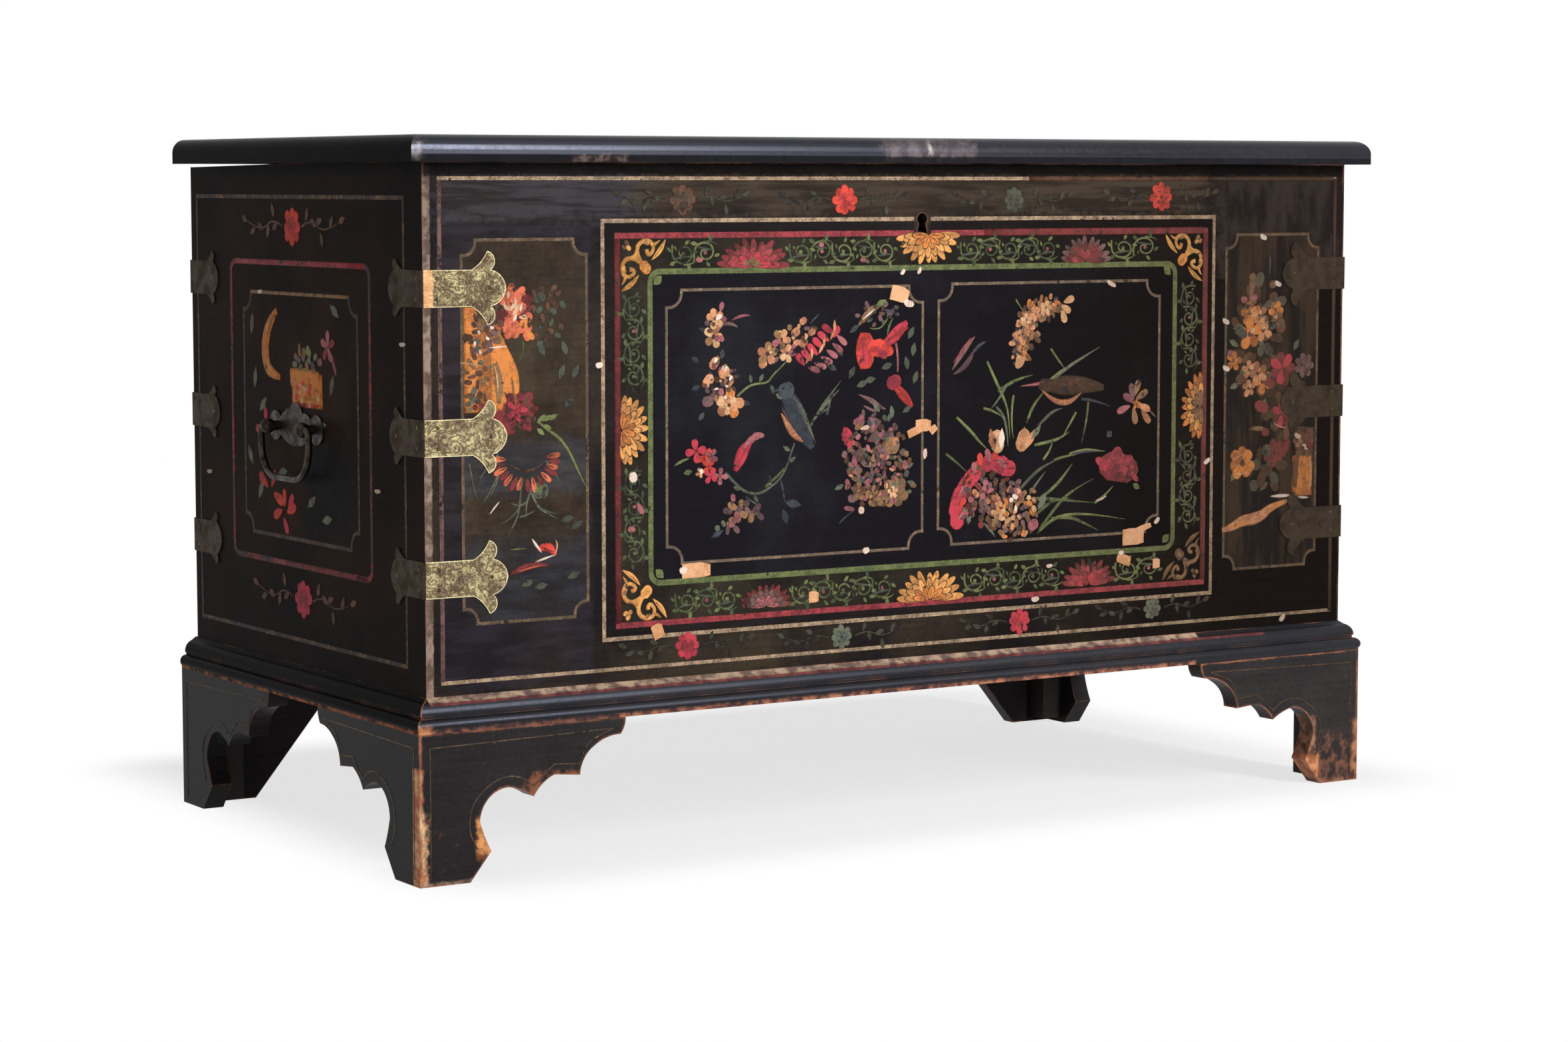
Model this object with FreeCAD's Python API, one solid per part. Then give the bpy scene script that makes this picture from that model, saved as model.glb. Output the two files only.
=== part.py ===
# Lift-lid chest on bracket feet: moulded lid on butt hinges, chest lock, brass corner straps, bail handles.
# Frame: +Z up, X along the front, the front faces -Y. The origin is the bottom centre of the whole chest.
# Millimetres. Each function below makes one piece, or one group of like fasteners.
import FreeCAD, Part
import os
from math import radians, sin, cos

V = FreeCAD.Vector

# Case: five boards
case_width = 1000.0
case_depth = 480.0
case_base_height = 129.0
case_top_height = 604.0
board_thickness = 18.0
bottom_thickness = 14.0
rear_gap = 3.0
slope_start_share = 0.45

# Lid: a board edged on three sides with a moulding
lid_thickness = 22.5
lid_overhang = 18.0
lid_edging_width = 36.0
lid_edge_radius = 12.5

# Plinth moulding, planted on the foot of the case
plinth_height = 28.5
plinth_projection = 16.0
fillet_projection = 4.0
fillet_drop = 3.0
ovolo_projection = 11.0
ovolo_drop = 14.0
groove_depth = 1.0
groove_drop = 2.5
arris_projection = 14.5
arris_drop = 26.5
rear_rail_thickness = 5.0

# Bracket feet
foot_projection = 14.5
bracket_thickness = 20.0
toe_width = 47.0
toe_rise = 25.0
toe_bulge = 67.0
waist_height = 51.0
waist_width = 56.5
arch_top_height = 78.0
arch_top_width = 84.5
cusp_width = 108.0
cusp_height = 68.0
step_start_width = 128.0
step_start_height = 85.0
step_end_width = 153.0
step_end_height = 82.5
shoulder_width = 168.0
shoulder_height = 107.0
nose_width = 193.0
nose_height = 114.5
bracket_length = 198.0
back_bracket_thickness = 16.0
back_toe_width = 67.0
back_bracket_length = 174.0
glue_block_side = 24.0
glue_block_lift = 5.0

# Corner straps, thin engraved sheet wrapped round each upright corner
strap_thickness = 1.2
strap_height = 31.0
front_leg_length = 77.5
side_leg_length = 62.0
horn_rise = 31.0
side_horn_rise = 24.0
top_strap_drop = 105.0
bottom_strap_rise = 127.0
middle_strap_share = 0.488
strap_pin_radius = 0.8
strap_pin_length = 9.0
strap_pin_head_radius = 1.7
strap_pin_head_height = 0.7
pin_clearance = 0.05

# Keyhole, cut right through the front board
keyhole_x = 1.5
keyhole_drop = 44.5
keyhole_height = 26.0
keyhole_head_radius = 5.4
keyhole_skirt_half_width = 7.3
keyhole_neck_half_width = 3.6

# Chest lock on the inner face of the front board
lock_width = 96.0
lock_height = 78.0
lock_depth = 15.0
lock_wall = 2.0
lock_cap_thickness = 1.5
lock_cap_flange = 10.0
lock_drop = 2.2
bolt_length = 44.0
bolt_bar_height = 7.5
bolt_thickness = 5.0
bolt_travel = 10.0
bolt_drop = 7.0
bolt_tail_width = 24.0
bolt_tail_height = 20.0
talon_width = 8.0
talon_height = 6.0
bolt_clearance = 0.3
guide_width = 6.0
guide_margin = 3.0
staple_x = 24.0
staple_thickness = 3.0
staple_width = 11.0
staple_drop = 17.0
staple_slot_clearance = 1.2
staple_eye_clearance = 0.8
bolt_nose_gap = 2.5
strike_length = 70.0
strike_width = 14.0
strike_thickness = 1.5
lock_screw_radius = 1.5
lock_screw_head_radius = 3.2
lock_screw_length = 13.0
lock_screw_edge = 5.0

# Butt hinges, barrel behind the back board, with a heel that stops the lid
hinge_spacing = 600.0
hinge_length = 64.0
hinge_leaf_width = 16.0
hinge_leaf_thickness = 1.3
hinge_barrel_radius = 3.5
hinge_barrel_gap = 0.5
hinge_pin_radius = 1.5
hinge_knuckle_gap = 0.3
hinge_pin_overhang = 1.0
hinge_heel_length = 7.0
hinge_heel_root = 1.0
hinge_heel_gap = 0.2
lid_opening_angle = 100.0
hinge_screw_radius = 1.5
hinge_screw_head_radius = 2.9
hinge_screw_length = 14.0
hinge_screw_pitch = 22.0

# Bail handles, one on each end
handle_y = 10.0
handle_axis_height = 370.0
bail_wire_radius = 3.0
bail_standoff = 12.0
bail_half_width = 50.0
bail_drop = 45.0
bail_corner_radius = 30.0
bail_elbow_radius = 6.0
post_spacing = 72.0
post_ball_radius = 6.8
post_neck_radius = 4.4
post_shank_radius = 3.0
bail_pin_clearance = 0.06
bail_pin_overhang = 1.5
plate_thickness = 1.5
plate_half_width = 57.0
plate_lobe_height = 13.0
plate_top_height = 22.0
plate_bottom_height = 17.0
plate_waist_height = 8.0
nut_side = 13.0
nut_thickness = 4.0

# Tool overrun past a cut face
overrun = 5.0

# Places worked out from the sizes above
lid_width = case_width + 2 * lid_overhang
hinge_axis_offset = hinge_barrel_radius + hinge_barrel_gap
heel_face = hinge_axis_offset - hinge_heel_gap
heel_reach = hinge_heel_length * sin(radians(lid_opening_angle)) - heel_face * cos(radians(lid_opening_angle))
overall_depth = lid_overhang + case_depth + hinge_axis_offset + heel_reach
front_y = lid_overhang - overall_depth / 2
back_y = front_y + case_depth
left_x = -case_width / 2
inner_front_y = front_y + board_thickness
inner_back_y = back_y - board_thickness
plinth_top_height = case_base_height + plinth_height
rear_top_height = case_top_height - rear_gap
lid_front_y = front_y - lid_overhang
hinge_axis_y = back_y + hinge_axis_offset
hinge_axis_z = case_top_height - rear_gap / 2
foot_front_y = front_y - foot_projection
foot_rear_y = back_y + rear_rail_thickness
foot_left_x = left_x - foot_projection
case_middle_y = (front_y + back_y) / 2
bail_axis_x = left_x - bail_standoff
bail_axis_y = case_middle_y + handle_y
top_strap_height = case_top_height - top_strap_drop
bottom_strap_height = case_base_height + bottom_strap_rise
middle_strap_height = bottom_strap_height + middle_strap_share * (top_strap_height - bottom_strap_height)
keyhole_bottom_height = case_top_height - keyhole_drop - keyhole_height
lock_top = case_top_height - lock_drop
lock_front_y = inner_front_y + lock_cap_thickness
lock_back_y = inner_front_y + lock_depth
bolt_top = lock_top - bolt_drop
bolt_y = (lock_front_y + lock_back_y - lock_wall) / 2


def block(x_span, y_span, z_span):
    size = [span[1] - span[0] for span in (x_span, y_span, z_span)]
    return Part.makeBox(size[0], size[1], size[2], V(x_span[0], y_span[0], z_span[0]))


def outline(start, steps):
    # Each step is a point for a straight side, or a mid point and an end point for an arc
    edges = []
    here = start
    for step in steps:
        if len(step) == 1:
            edges.append(Part.LineSegment(here, step[0]).toShape())
        else:
            edges.append(Part.Arc(here, step[0], step[1]).toShape())
        here = step[-1]
    return Part.Wire(edges)


def prism(start, steps, direction):
    return Part.Face(outline(start, steps)).extrude(direction)


def polygon_prism(points, direction):
    return prism(points[0], [(p,) for p in points[1:]] + [(points[0],)], direction)


def cylinder(radius, start, end):
    along = end - start
    return Part.makeCylinder(radius, along.Length, start, along)


def cone(radius_start, radius_end, start, end):
    along = end - start
    return Part.makeCone(radius_start, radius_end, along.Length, start, along)


def mitre_tool(outer, inner, z_span, along_x):
    # Cuts a 45 degree corner off a piece that runs along X, or along Y, from the outer to the inner corner
    dx = overrun if outer[0] > inner[0] else -overrun
    dy = overrun if outer[1] > inner[1] else -overrun
    far = (outer[0] + dx, outer[1] + dy)
    near = (inner[0] - dx, inner[1] - dy)
    side = (far[0], near[1]) if along_x else (near[0], far[1])
    low = z_span[0] - overrun
    points = [V(p[0], p[1], low) for p in (far, near, side)]
    return polygon_prism(points, V(0, 0, z_span[1] - z_span[0] + 2 * overrun))


def mirrored(shape):
    return shape.mirror(V(0, 0, 0), V(1, 0, 0))


def turned_to_right_end(shape):
    # A handle is the same from either side, so the right one is the left one turned half round
    copy = shape.copy()
    copy.rotate(V(0, bail_axis_y, 0), V(0, 0, 1), 180)
    return copy


def countersunk_screw(head, direction, head_radius, radius, sink, length, clearance=0.0):
    # Flat head at the point head, shank along direction
    neck = head + direction * sink
    tip = head + direction * (length + clearance)
    head_part = cone(head_radius + clearance, radius + clearance, head, neck)
    return head_part.fuse(cylinder(radius + clearance, neck, tip)).removeSplitter()


# Straps: outline of one leg, from the corner to its lobed end. s runs along the leg, t up from its middle
def strap_leg(length, horn, place, thickness_vector):
    half = strap_height / 2
    rise = horn - half
    flare_share, tip_share, horn_back_share, lobe_root_share, lobe_mid_share = 0.58, 0.77, 0.865, 0.815, 0.945
    sweep_rise_share, back_rise_share, root_height_share, lobe_height_share = 0.34, 0.42, 0.98, 0.62
    points = [
        (0, half), (flare_share * length, half),
        ((flare_share + tip_share) / 2 * length, half + sweep_rise_share * rise), (tip_share * length, horn),
        (horn_back_share * length, half + back_rise_share * rise),
        (lobe_root_share * length, root_height_share * half),
        (lobe_mid_share * length, lobe_height_share * half), (length, 0),
    ]
    upper = [place(s, t) for s, t in points]
    lower = [place(s, -t) for s, t in points]
    steps = [
        (upper[1],), (upper[2], upper[3]), (upper[4], upper[5]), (upper[6], upper[7]),
        (lower[6], lower[5]), (lower[4], lower[3]), (lower[2], lower[1]), (lower[0],), (upper[0],),
    ]
    return prism(upper[0], steps, thickness_vector)


def strap_corner(right, rear):
    side = 1 if right else -1
    turn = 1 if rear else -1
    corner_x = side * case_width / 2
    corner_y = back_y if rear else front_y
    return side, turn, corner_x, corner_y


def corner_strap(right, rear, height):
    side, turn, corner_x, corner_y = strap_corner(right, rear)
    face_x = corner_x + side * strap_thickness
    face_y = corner_y + turn * strap_thickness
    face_leg = strap_leg(
        front_leg_length, horn_rise,
        lambda s, t: V(corner_x - side * s, corner_y, height + t), V(0, turn * strap_thickness, 0))
    end_leg = strap_leg(
        side_leg_length, side_horn_rise,
        lambda s, t: V(corner_x, corner_y - turn * s, height + t), V(side * strap_thickness, 0, 0))
    x_span = sorted((corner_x, face_x))
    y_span = sorted((corner_y, face_y))
    z_span = (height - strap_height / 2, height + strap_height / 2)
    strap = face_leg.fuse([end_leg, block(x_span, y_span, z_span)]).removeSplitter()
    return strap.cut(Part.makeCompound(strap_pins_at(right, rear, height, pin_clearance)))


def strap_pin_places(right, rear, height):
    # Point on the outer face of the strap and the inward direction of each pin
    side, turn, corner_x, corner_y = strap_corner(right, rear)
    root_share, end_share, rise_share = 0.16, 0.80, 0.28
    places = []
    out_x = corner_x + side * strap_thickness
    out_y = corner_y + turn * strap_thickness
    for share, rise in ((root_share, rise_share), (root_share, -rise_share), (end_share, 0.0)):
        z = height + rise * strap_height
        places.append((V(corner_x - side * share * front_leg_length, out_y, z), V(0, -turn, 0)))
        places.append((V(out_x, corner_y - turn * share * side_leg_length, z), V(-side, 0, 0)))
    return places


def strap_pins_at(right, rear, height, clearance):
    pins = []
    for point, inward in strap_pin_places(right, rear, height):
        shank = cylinder(strap_pin_radius + clearance, point, point + inward * (strap_pin_length + clearance))
        if clearance == 0:
            top = point - inward * strap_pin_head_height
            shank = shank.fuse(cone(strap_pin_head_radius, strap_pin_radius, point, top)).removeSplitter()
        pins.append(shank)
    return pins


strap_heights = {"top": top_strap_height, "middle": middle_strap_height, "bottom": bottom_strap_height}
strap_corners = {
    "front_left": (False, False), "front_right": (True, False),
    "rear_left": (False, True), "rear_right": (True, True),
}


def all_strap_pins(clearance):
    pins = []
    for right, rear in strap_corners.values():
        for height in strap_heights.values():
            pins += strap_pins_at(right, rear, height, clearance)
    return pins


# Keyhole, lock and strike
def keyhole_outline(y, depth):
    head_z = keyhole_bottom_height + keyhole_height - keyhole_head_radius
    neck_z = head_z - (keyhole_head_radius ** 2 - keyhole_neck_half_width ** 2) ** 0.5
    left_neck = V(keyhole_x - keyhole_neck_half_width, y, neck_z)
    right_neck = V(keyhole_x + keyhole_neck_half_width, y, neck_z)
    left_foot = V(keyhole_x - keyhole_skirt_half_width, y, keyhole_bottom_height)
    right_foot = V(keyhole_x + keyhole_skirt_half_width, y, keyhole_bottom_height)
    crown = V(keyhole_x, y, keyhole_bottom_height + keyhole_height)
    steps = [(crown, right_neck), (right_foot,), (left_foot,), (left_neck,)]
    return prism(left_neck, steps, V(0, depth, 0))


def lock_screw_places():
    reach = lock_width / 2 + lock_cap_flange - lock_screw_edge
    low = lock_top - lock_height + lock_screw_edge
    high = lock_top - 2 * lock_screw_edge
    y = inner_front_y + lock_cap_thickness
    return [V(x, y, z) for x in (-reach, reach) for z in (low, high)]


def lock_screw_shapes(clearance):
    return [
        countersunk_screw(place, V(0, -1, 0), lock_screw_head_radius, lock_screw_radius, lock_cap_thickness,
                          lock_screw_length, clearance)
        for place in lock_screw_places()
    ]


def staple_span(grow):
    x_span = (staple_x - staple_thickness / 2 - grow, staple_x + staple_thickness / 2 + grow)
    y_span = (bolt_y - staple_width / 2 - grow, bolt_y + staple_width / 2 + grow)
    return x_span, y_span


def bolt_bar_span(grow):
    y_span = (bolt_y - bolt_thickness / 2 - grow, bolt_y + bolt_thickness / 2 + grow)
    z_span = (bolt_top - bolt_bar_height - grow, bolt_top + grow)
    return y_span, z_span


bolt_nose_x = staple_x - staple_thickness / 2 - bolt_nose_gap
bolt_heel_x = bolt_nose_x - bolt_length


def make_lock_cap():
    half = lock_width / 2 + lock_cap_flange
    plate = block((-half, half), (inner_front_y, lock_front_y), (lock_top - lock_height, lock_top))
    plate = plate.cut(keyhole_outline(inner_front_y - overrun, lock_cap_thickness + 2 * overrun))
    return plate.cut(lock_screw_shapes(pin_clearance))


def make_lock_case():
    half = lock_width / 2
    low = lock_top - lock_height
    shell = block((-half, half), (lock_front_y, lock_back_y), (low, lock_top))
    hollow = block((-half + lock_wall, half - lock_wall), (lock_front_y - overrun, lock_back_y - lock_wall),
                   (low + lock_wall, lock_top - lock_wall))
    case = shell.cut(hollow)
    y_hole, z_hole = bolt_bar_span(bolt_clearance)
    z_guide = (z_hole[0] - guide_margin, lock_top - lock_wall)
    guide_starts = (bolt_heel_x + guide_margin, bolt_nose_x + bolt_travel - guide_margin)
    for start in guide_starts:
        y_guide = (y_hole[0] - bolt_clearance, lock_back_y - lock_wall)
        case = case.fuse(block((start, start + guide_width), y_guide, z_guide))
    case = case.cut(block((-half + lock_wall, half - lock_wall), y_hole, z_hole))
    x_slot, y_slot = staple_span(staple_slot_clearance)
    slot = block(x_slot, y_slot, (lock_top - lock_wall - overrun, lock_top + overrun))
    return case.cut(slot).removeSplitter()


def make_lock_bolt():
    y_span, z_span = bolt_bar_span(0)
    bar = block((bolt_heel_x, bolt_nose_x), y_span, z_span)
    middle = (bolt_heel_x + bolt_nose_x) / 2
    tail_low = z_span[0] - bolt_tail_height
    tail = block((middle - bolt_tail_width / 2, middle + bolt_tail_width / 2), y_span, (tail_low, z_span[0]))
    talon = block((middle - talon_width / 2, middle + talon_width / 2),
                  (y_span[0] - overrun, y_span[1] + overrun), (tail_low - overrun, tail_low + talon_height))
    return bar.fuse(tail).cut(talon).removeSplitter()


def strike_screw_places():
    # The middle screw stands to the left of the staple
    reach = strike_length / 2 - 2 * lock_screw_edge
    middle_share = 0.33
    return [V(x, bolt_y, case_top_height - strike_thickness) for x in (-reach, -middle_share * reach, reach)]


def strike_screw_shapes(clearance):
    return [
        countersunk_screw(place, V(0, 0, 1), lock_screw_head_radius, lock_screw_radius, strike_thickness,
                          lock_screw_length, clearance)
        for place in strike_screw_places()
    ]


def make_lock_strike():
    low = case_top_height - strike_thickness
    plate = block((-strike_length / 2, strike_length / 2),
                  (bolt_y - strike_width / 2, bolt_y + strike_width / 2), (low, case_top_height))
    x_span, y_span = staple_span(0)
    staple = block(x_span, y_span, (low - staple_drop, low))
    y_eye, z_eye = bolt_bar_span(staple_eye_clearance)
    eye = block((x_span[0] - overrun, x_span[1] + overrun), y_eye, z_eye)
    return plate.fuse(staple.cut(eye)).cut(strike_screw_shapes(pin_clearance)).removeSplitter()


# Hinges: local frame has X along the pin, centred on the hinge
def hinge_knuckle_spans(centre_x):
    third = hinge_length / 3
    start = centre_x - hinge_length / 2
    half_gap = hinge_knuckle_gap / 2
    left = (start, start + third - half_gap)
    middle = (start + third + half_gap, start + 2 * third - half_gap)
    right = (start + 2 * third + half_gap, start + hinge_length)
    return left, middle, right


def hinge_axis_point(x):
    return V(x, hinge_axis_y, hinge_axis_z)


def hinge_leaf(centre_x, z_span, own_spans, other_spans):
    plate = block((centre_x - hinge_length / 2, centre_x + hinge_length / 2),
                  (back_y - hinge_leaf_width, hinge_axis_y), z_span)
    barrels = [cylinder(hinge_barrel_radius, hinge_axis_point(s[0]), hinge_axis_point(s[1]))
               for s in own_spans]
    leaf = plate.fuse(barrels)
    notches = [
        block((s[0] - hinge_knuckle_gap, s[1] + hinge_knuckle_gap), (back_y, hinge_axis_y + overrun),
              (hinge_axis_z - overrun, hinge_axis_z + overrun))
        for s in other_spans
    ]
    bore = cylinder(hinge_pin_radius + pin_clearance, hinge_axis_point(centre_x - hinge_length),
                    hinge_axis_point(centre_x + hinge_length))
    return leaf.cut(notches), bore


def leaf_z_spans():
    return (case_top_height - rear_gap, case_top_height - rear_gap + hinge_leaf_thickness), \
        (case_top_height - hinge_leaf_thickness, case_top_height)


def make_hinge_case_leaf(centre_x):
    left, middle, right = hinge_knuckle_spans(centre_x)
    leaf, bore = hinge_leaf(centre_x, leaf_z_spans()[0], (left, right), (middle,))
    return leaf.cut([bore] + hinge_screw_shapes(centre_x, False, pin_clearance)).removeSplitter()


def make_hinge_lid_leaf(centre_x):
    left, middle, right = hinge_knuckle_spans(centre_x)
    wide = (left[0] - overrun, left[1])
    far = (right[0], right[1] + overrun)
    leaf, bore = hinge_leaf(centre_x, leaf_z_spans()[1], (middle,), (wide, far))
    heel = block(middle, (hinge_axis_y - heel_face, hinge_axis_y + hinge_heel_root),
                 (hinge_axis_z - hinge_heel_length, hinge_axis_z))
    heel.rotate(hinge_axis_point(centre_x), V(1, 0, 0), lid_opening_angle)
    leaf = leaf.fuse(heel)
    return leaf.cut([bore] + hinge_screw_shapes(centre_x, True, pin_clearance)).removeSplitter()


def make_hinge_pin(centre_x):
    reach = hinge_length / 2 + hinge_pin_overhang
    return cylinder(hinge_pin_radius, hinge_axis_point(centre_x - reach), hinge_axis_point(centre_x + reach))


def hinge_screw_shapes(centre_x, in_lid, clearance):
    case_leaf, lid_leaf = leaf_z_spans()
    z = lid_leaf[0] if in_lid else case_leaf[1]
    direction = V(0, 0, 1) if in_lid else V(0, 0, -1)
    y = back_y - hinge_leaf_width / 2
    return [
        countersunk_screw(V(centre_x + shift, y, z), direction, hinge_screw_head_radius, hinge_screw_radius,
                          hinge_leaf_thickness, hinge_screw_length, clearance)
        for shift in (-hinge_screw_pitch, 0.0, hinge_screw_pitch)
    ]


hinge_places = (-hinge_spacing / 2, hinge_spacing / 2)


def all_hinge_screws(in_lid, clearance):
    screws = []
    for x in hinge_places:
        screws += hinge_screw_shapes(x, in_lid, clearance)
    return screws


# Handles, modelled on the left end and turned half round for the right
def post_points():
    return [V(bail_axis_x, bail_axis_y + turn * post_spacing / 2, handle_axis_height) for turn in (-1, 1)]


def post_shanks(clearance):
    outer_x = left_x - plate_thickness
    inner_x = left_x + board_thickness + nut_thickness
    return [cylinder(post_shank_radius + clearance, V(outer_x, p.y, p.z), V(inner_x, p.y, p.z))
            for p in post_points()]


def make_handle_posts():
    posts = []
    pin_bore = cylinder(bail_wire_radius + bail_pin_clearance,
                        V(bail_axis_x, bail_axis_y - bail_half_width, handle_axis_height),
                        V(bail_axis_x, bail_axis_y + bail_half_width, handle_axis_height))
    for point, shank in zip(post_points(), post_shanks(0)):
        ball = Part.makeSphere(post_ball_radius, point)
        neck = cylinder(post_neck_radius, V(left_x - plate_thickness, point.y, point.z), point)
        posts.append(ball.fuse([neck, shank]).cut(pin_bore).removeSplitter())
    return Part.makeCompound(posts)


def make_handle_nuts():
    nuts = []
    inner_x = left_x + board_thickness
    for point in post_points():
        half = nut_side / 2
        nuts.append(block((inner_x, inner_x + nut_thickness), (point.y - half, point.y + half),
                          (point.z - half, point.z + half)))
    return Part.makeCompound(nuts).cut(Part.makeCompound(post_shanks(pin_clearance)))


def make_handle_plate():
    def place(y, z):
        return V(left_x, bail_axis_y + y, handle_axis_height + z)
    half = plate_half_width
    lobe_share, shoulder_share, crown_share = 0.80, 0.55, 0.24
    mid_share = (shoulder_share + crown_share) / 2
    start = place(-half, 0)
    steps = [
        (place(-lobe_share * half, plate_lobe_height), place(-shoulder_share * half, plate_waist_height)),
        (place(-mid_share * half, plate_lobe_height), place(-crown_share * half, plate_lobe_height)),
        (place(0, plate_top_height), place(crown_share * half, plate_lobe_height)),
        (place(mid_share * half, plate_lobe_height), place(shoulder_share * half, plate_waist_height)),
        (place(lobe_share * half, plate_lobe_height), place(half, 0)),
        (place(lobe_share * half, -plate_lobe_height), place(shoulder_share * half, -plate_waist_height)),
        (place(0, -plate_bottom_height), place(-shoulder_share * half, -plate_waist_height)),
        (place(-lobe_share * half, -plate_lobe_height), start),
    ]
    plate = prism(start, steps, V(-plate_thickness, 0, 0))
    return plate.cut(post_shanks(pin_clearance))


def make_bail():
    def place(y, z):
        return V(bail_axis_x, bail_axis_y + y, handle_axis_height + z)
    pin_end = post_spacing / 2 - post_ball_radius - bail_pin_overhang
    bow = bail_corner_radius * (1 - cos(radians(45)))
    elbow = bail_elbow_radius * (1 - cos(radians(45)))
    half = bail_half_width
    drop = bail_drop
    right = [
        (place(pin_end, 0), None), (place(half - bail_elbow_radius, 0), None),
        (place(half, -bail_elbow_radius), place(half - elbow, -elbow)),
        (place(half, -drop + bail_corner_radius), None),
        (place(half - bail_corner_radius, -drop), place(half - bow, -drop + bow)),
    ]
    start = place(-pin_end, 0)
    steps = [
        (place(-half + bail_elbow_radius, 0),),
        (place(-half + elbow, -elbow), place(-half, -bail_elbow_radius)),
        (place(-half, -drop + bail_corner_radius),),
        (place(-half + bow, -drop + bow), place(-half + bail_corner_radius, -drop)),
        (right[4][0],), (right[4][1], right[3][0]), (right[2][0],), (right[2][1], right[1][0]),
        (right[0][0],),
    ]
    path = outline(start, steps)
    section = Part.Wire(Part.makeCircle(bail_wire_radius, start, V(0, 1, 0)))
    return path.makePipeShell([section], True, False)


# Case boards, mitred at the upright corners
def wall_tools():
    # Pin and screw holes that the boards are drilled with
    return Part.makeCompound(all_strap_pins(pin_clearance))


def mitre_pair(right, rear, along_x, z_span):
    side, turn, corner_x, corner_y = strap_corner(right, rear)
    inner = (corner_x - side * board_thickness, corner_y - turn * board_thickness)
    return mitre_tool((corner_x, corner_y), inner, z_span, along_x)


def make_front_board():
    z_span = (case_base_height, case_top_height)
    board = block((left_x, -left_x), (front_y, inner_front_y), z_span)
    board = board.cut([mitre_pair(right, False, True, z_span) for right in (False, True)])
    board = board.cut(keyhole_outline(front_y - overrun, board_thickness + 2 * overrun))
    return board.cut([wall_tools()] + lock_screw_shapes(pin_clearance))


def make_back_board():
    z_span = (case_base_height, rear_top_height)
    board = block((left_x, -left_x), (inner_back_y, back_y), z_span)
    board = board.cut([mitre_pair(right, True, True, z_span) for right in (False, True)])
    return board.cut([wall_tools()] + all_hinge_screws(False, pin_clearance))


def make_left_end_board():
    z_span = (case_base_height, case_top_height)
    slope_y = front_y + slope_start_share * case_depth
    corners = [
        V(left_x, front_y, z_span[0]), V(left_x, back_y, z_span[0]), V(left_x, back_y, rear_top_height),
        V(left_x, slope_y, z_span[1]), V(left_x, front_y, z_span[1]),
    ]
    board = polygon_prism(corners, V(board_thickness, 0, 0))
    board = board.cut([mitre_pair(False, rear, False, z_span) for rear in (False, True)])
    return board.cut([wall_tools()] + post_shanks(pin_clearance))


def make_bottom_board():
    inner = left_x + board_thickness
    return block((inner, -inner), (inner_front_y, inner_back_y),
                 (case_base_height, case_base_height + bottom_thickness))


# Plinth: one profile, from the top of the moulding down. p runs out from the case, h down from the top
def plinth_prism(place, direction):
    profile = [
        (place(0, 0), None), (place(fillet_projection, fillet_drop), None),
        (place(ovolo_projection, ovolo_drop), place(
            fillet_projection + (ovolo_projection - fillet_projection) * sin(radians(60)),
            fillet_drop + (ovolo_drop - fillet_drop) * (1 - cos(radians(60))))),
        (place(ovolo_projection - groove_depth, ovolo_drop), None),
        (place(ovolo_projection - groove_depth, ovolo_drop + groove_drop), None),
        (place(arris_projection, arris_drop), place(
            plinth_projection, (ovolo_drop + groove_drop + arris_drop) / 2)),
        (place(arris_projection, plinth_height), None),
        (place(0, plinth_height), None),
    ]
    steps = [(end,) if mid is None else (mid, end) for end, mid in profile[1:]]
    return prism(profile[0][0], steps + [(profile[0][0],)], direction)


def plinth_mitre(right, along_x):
    side = 1 if right else -1
    inner = (side * case_width / 2, front_y)
    outer = (inner[0] + side * plinth_projection, front_y - plinth_projection)
    return mitre_tool(outer, inner, (case_base_height, plinth_top_height), along_x)


def make_front_plinth_moulding():
    reach = case_width / 2 + plinth_projection
    bar = plinth_prism(lambda p, h: V(-reach, front_y - p, plinth_top_height - h), V(2 * reach, 0, 0))
    return bar.cut([plinth_mitre(right, True) for right in (False, True)])


def make_left_plinth_moulding():
    start = front_y - plinth_projection
    bar = plinth_prism(lambda p, h: V(left_x - p, start, plinth_top_height - h), V(0, foot_rear_y - start, 0))
    return bar.cut(plinth_mitre(False, False))


def make_rear_plinth_rail():
    return block((left_x, -left_x), (back_y, foot_rear_y), (case_base_height, plinth_top_height))


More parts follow.
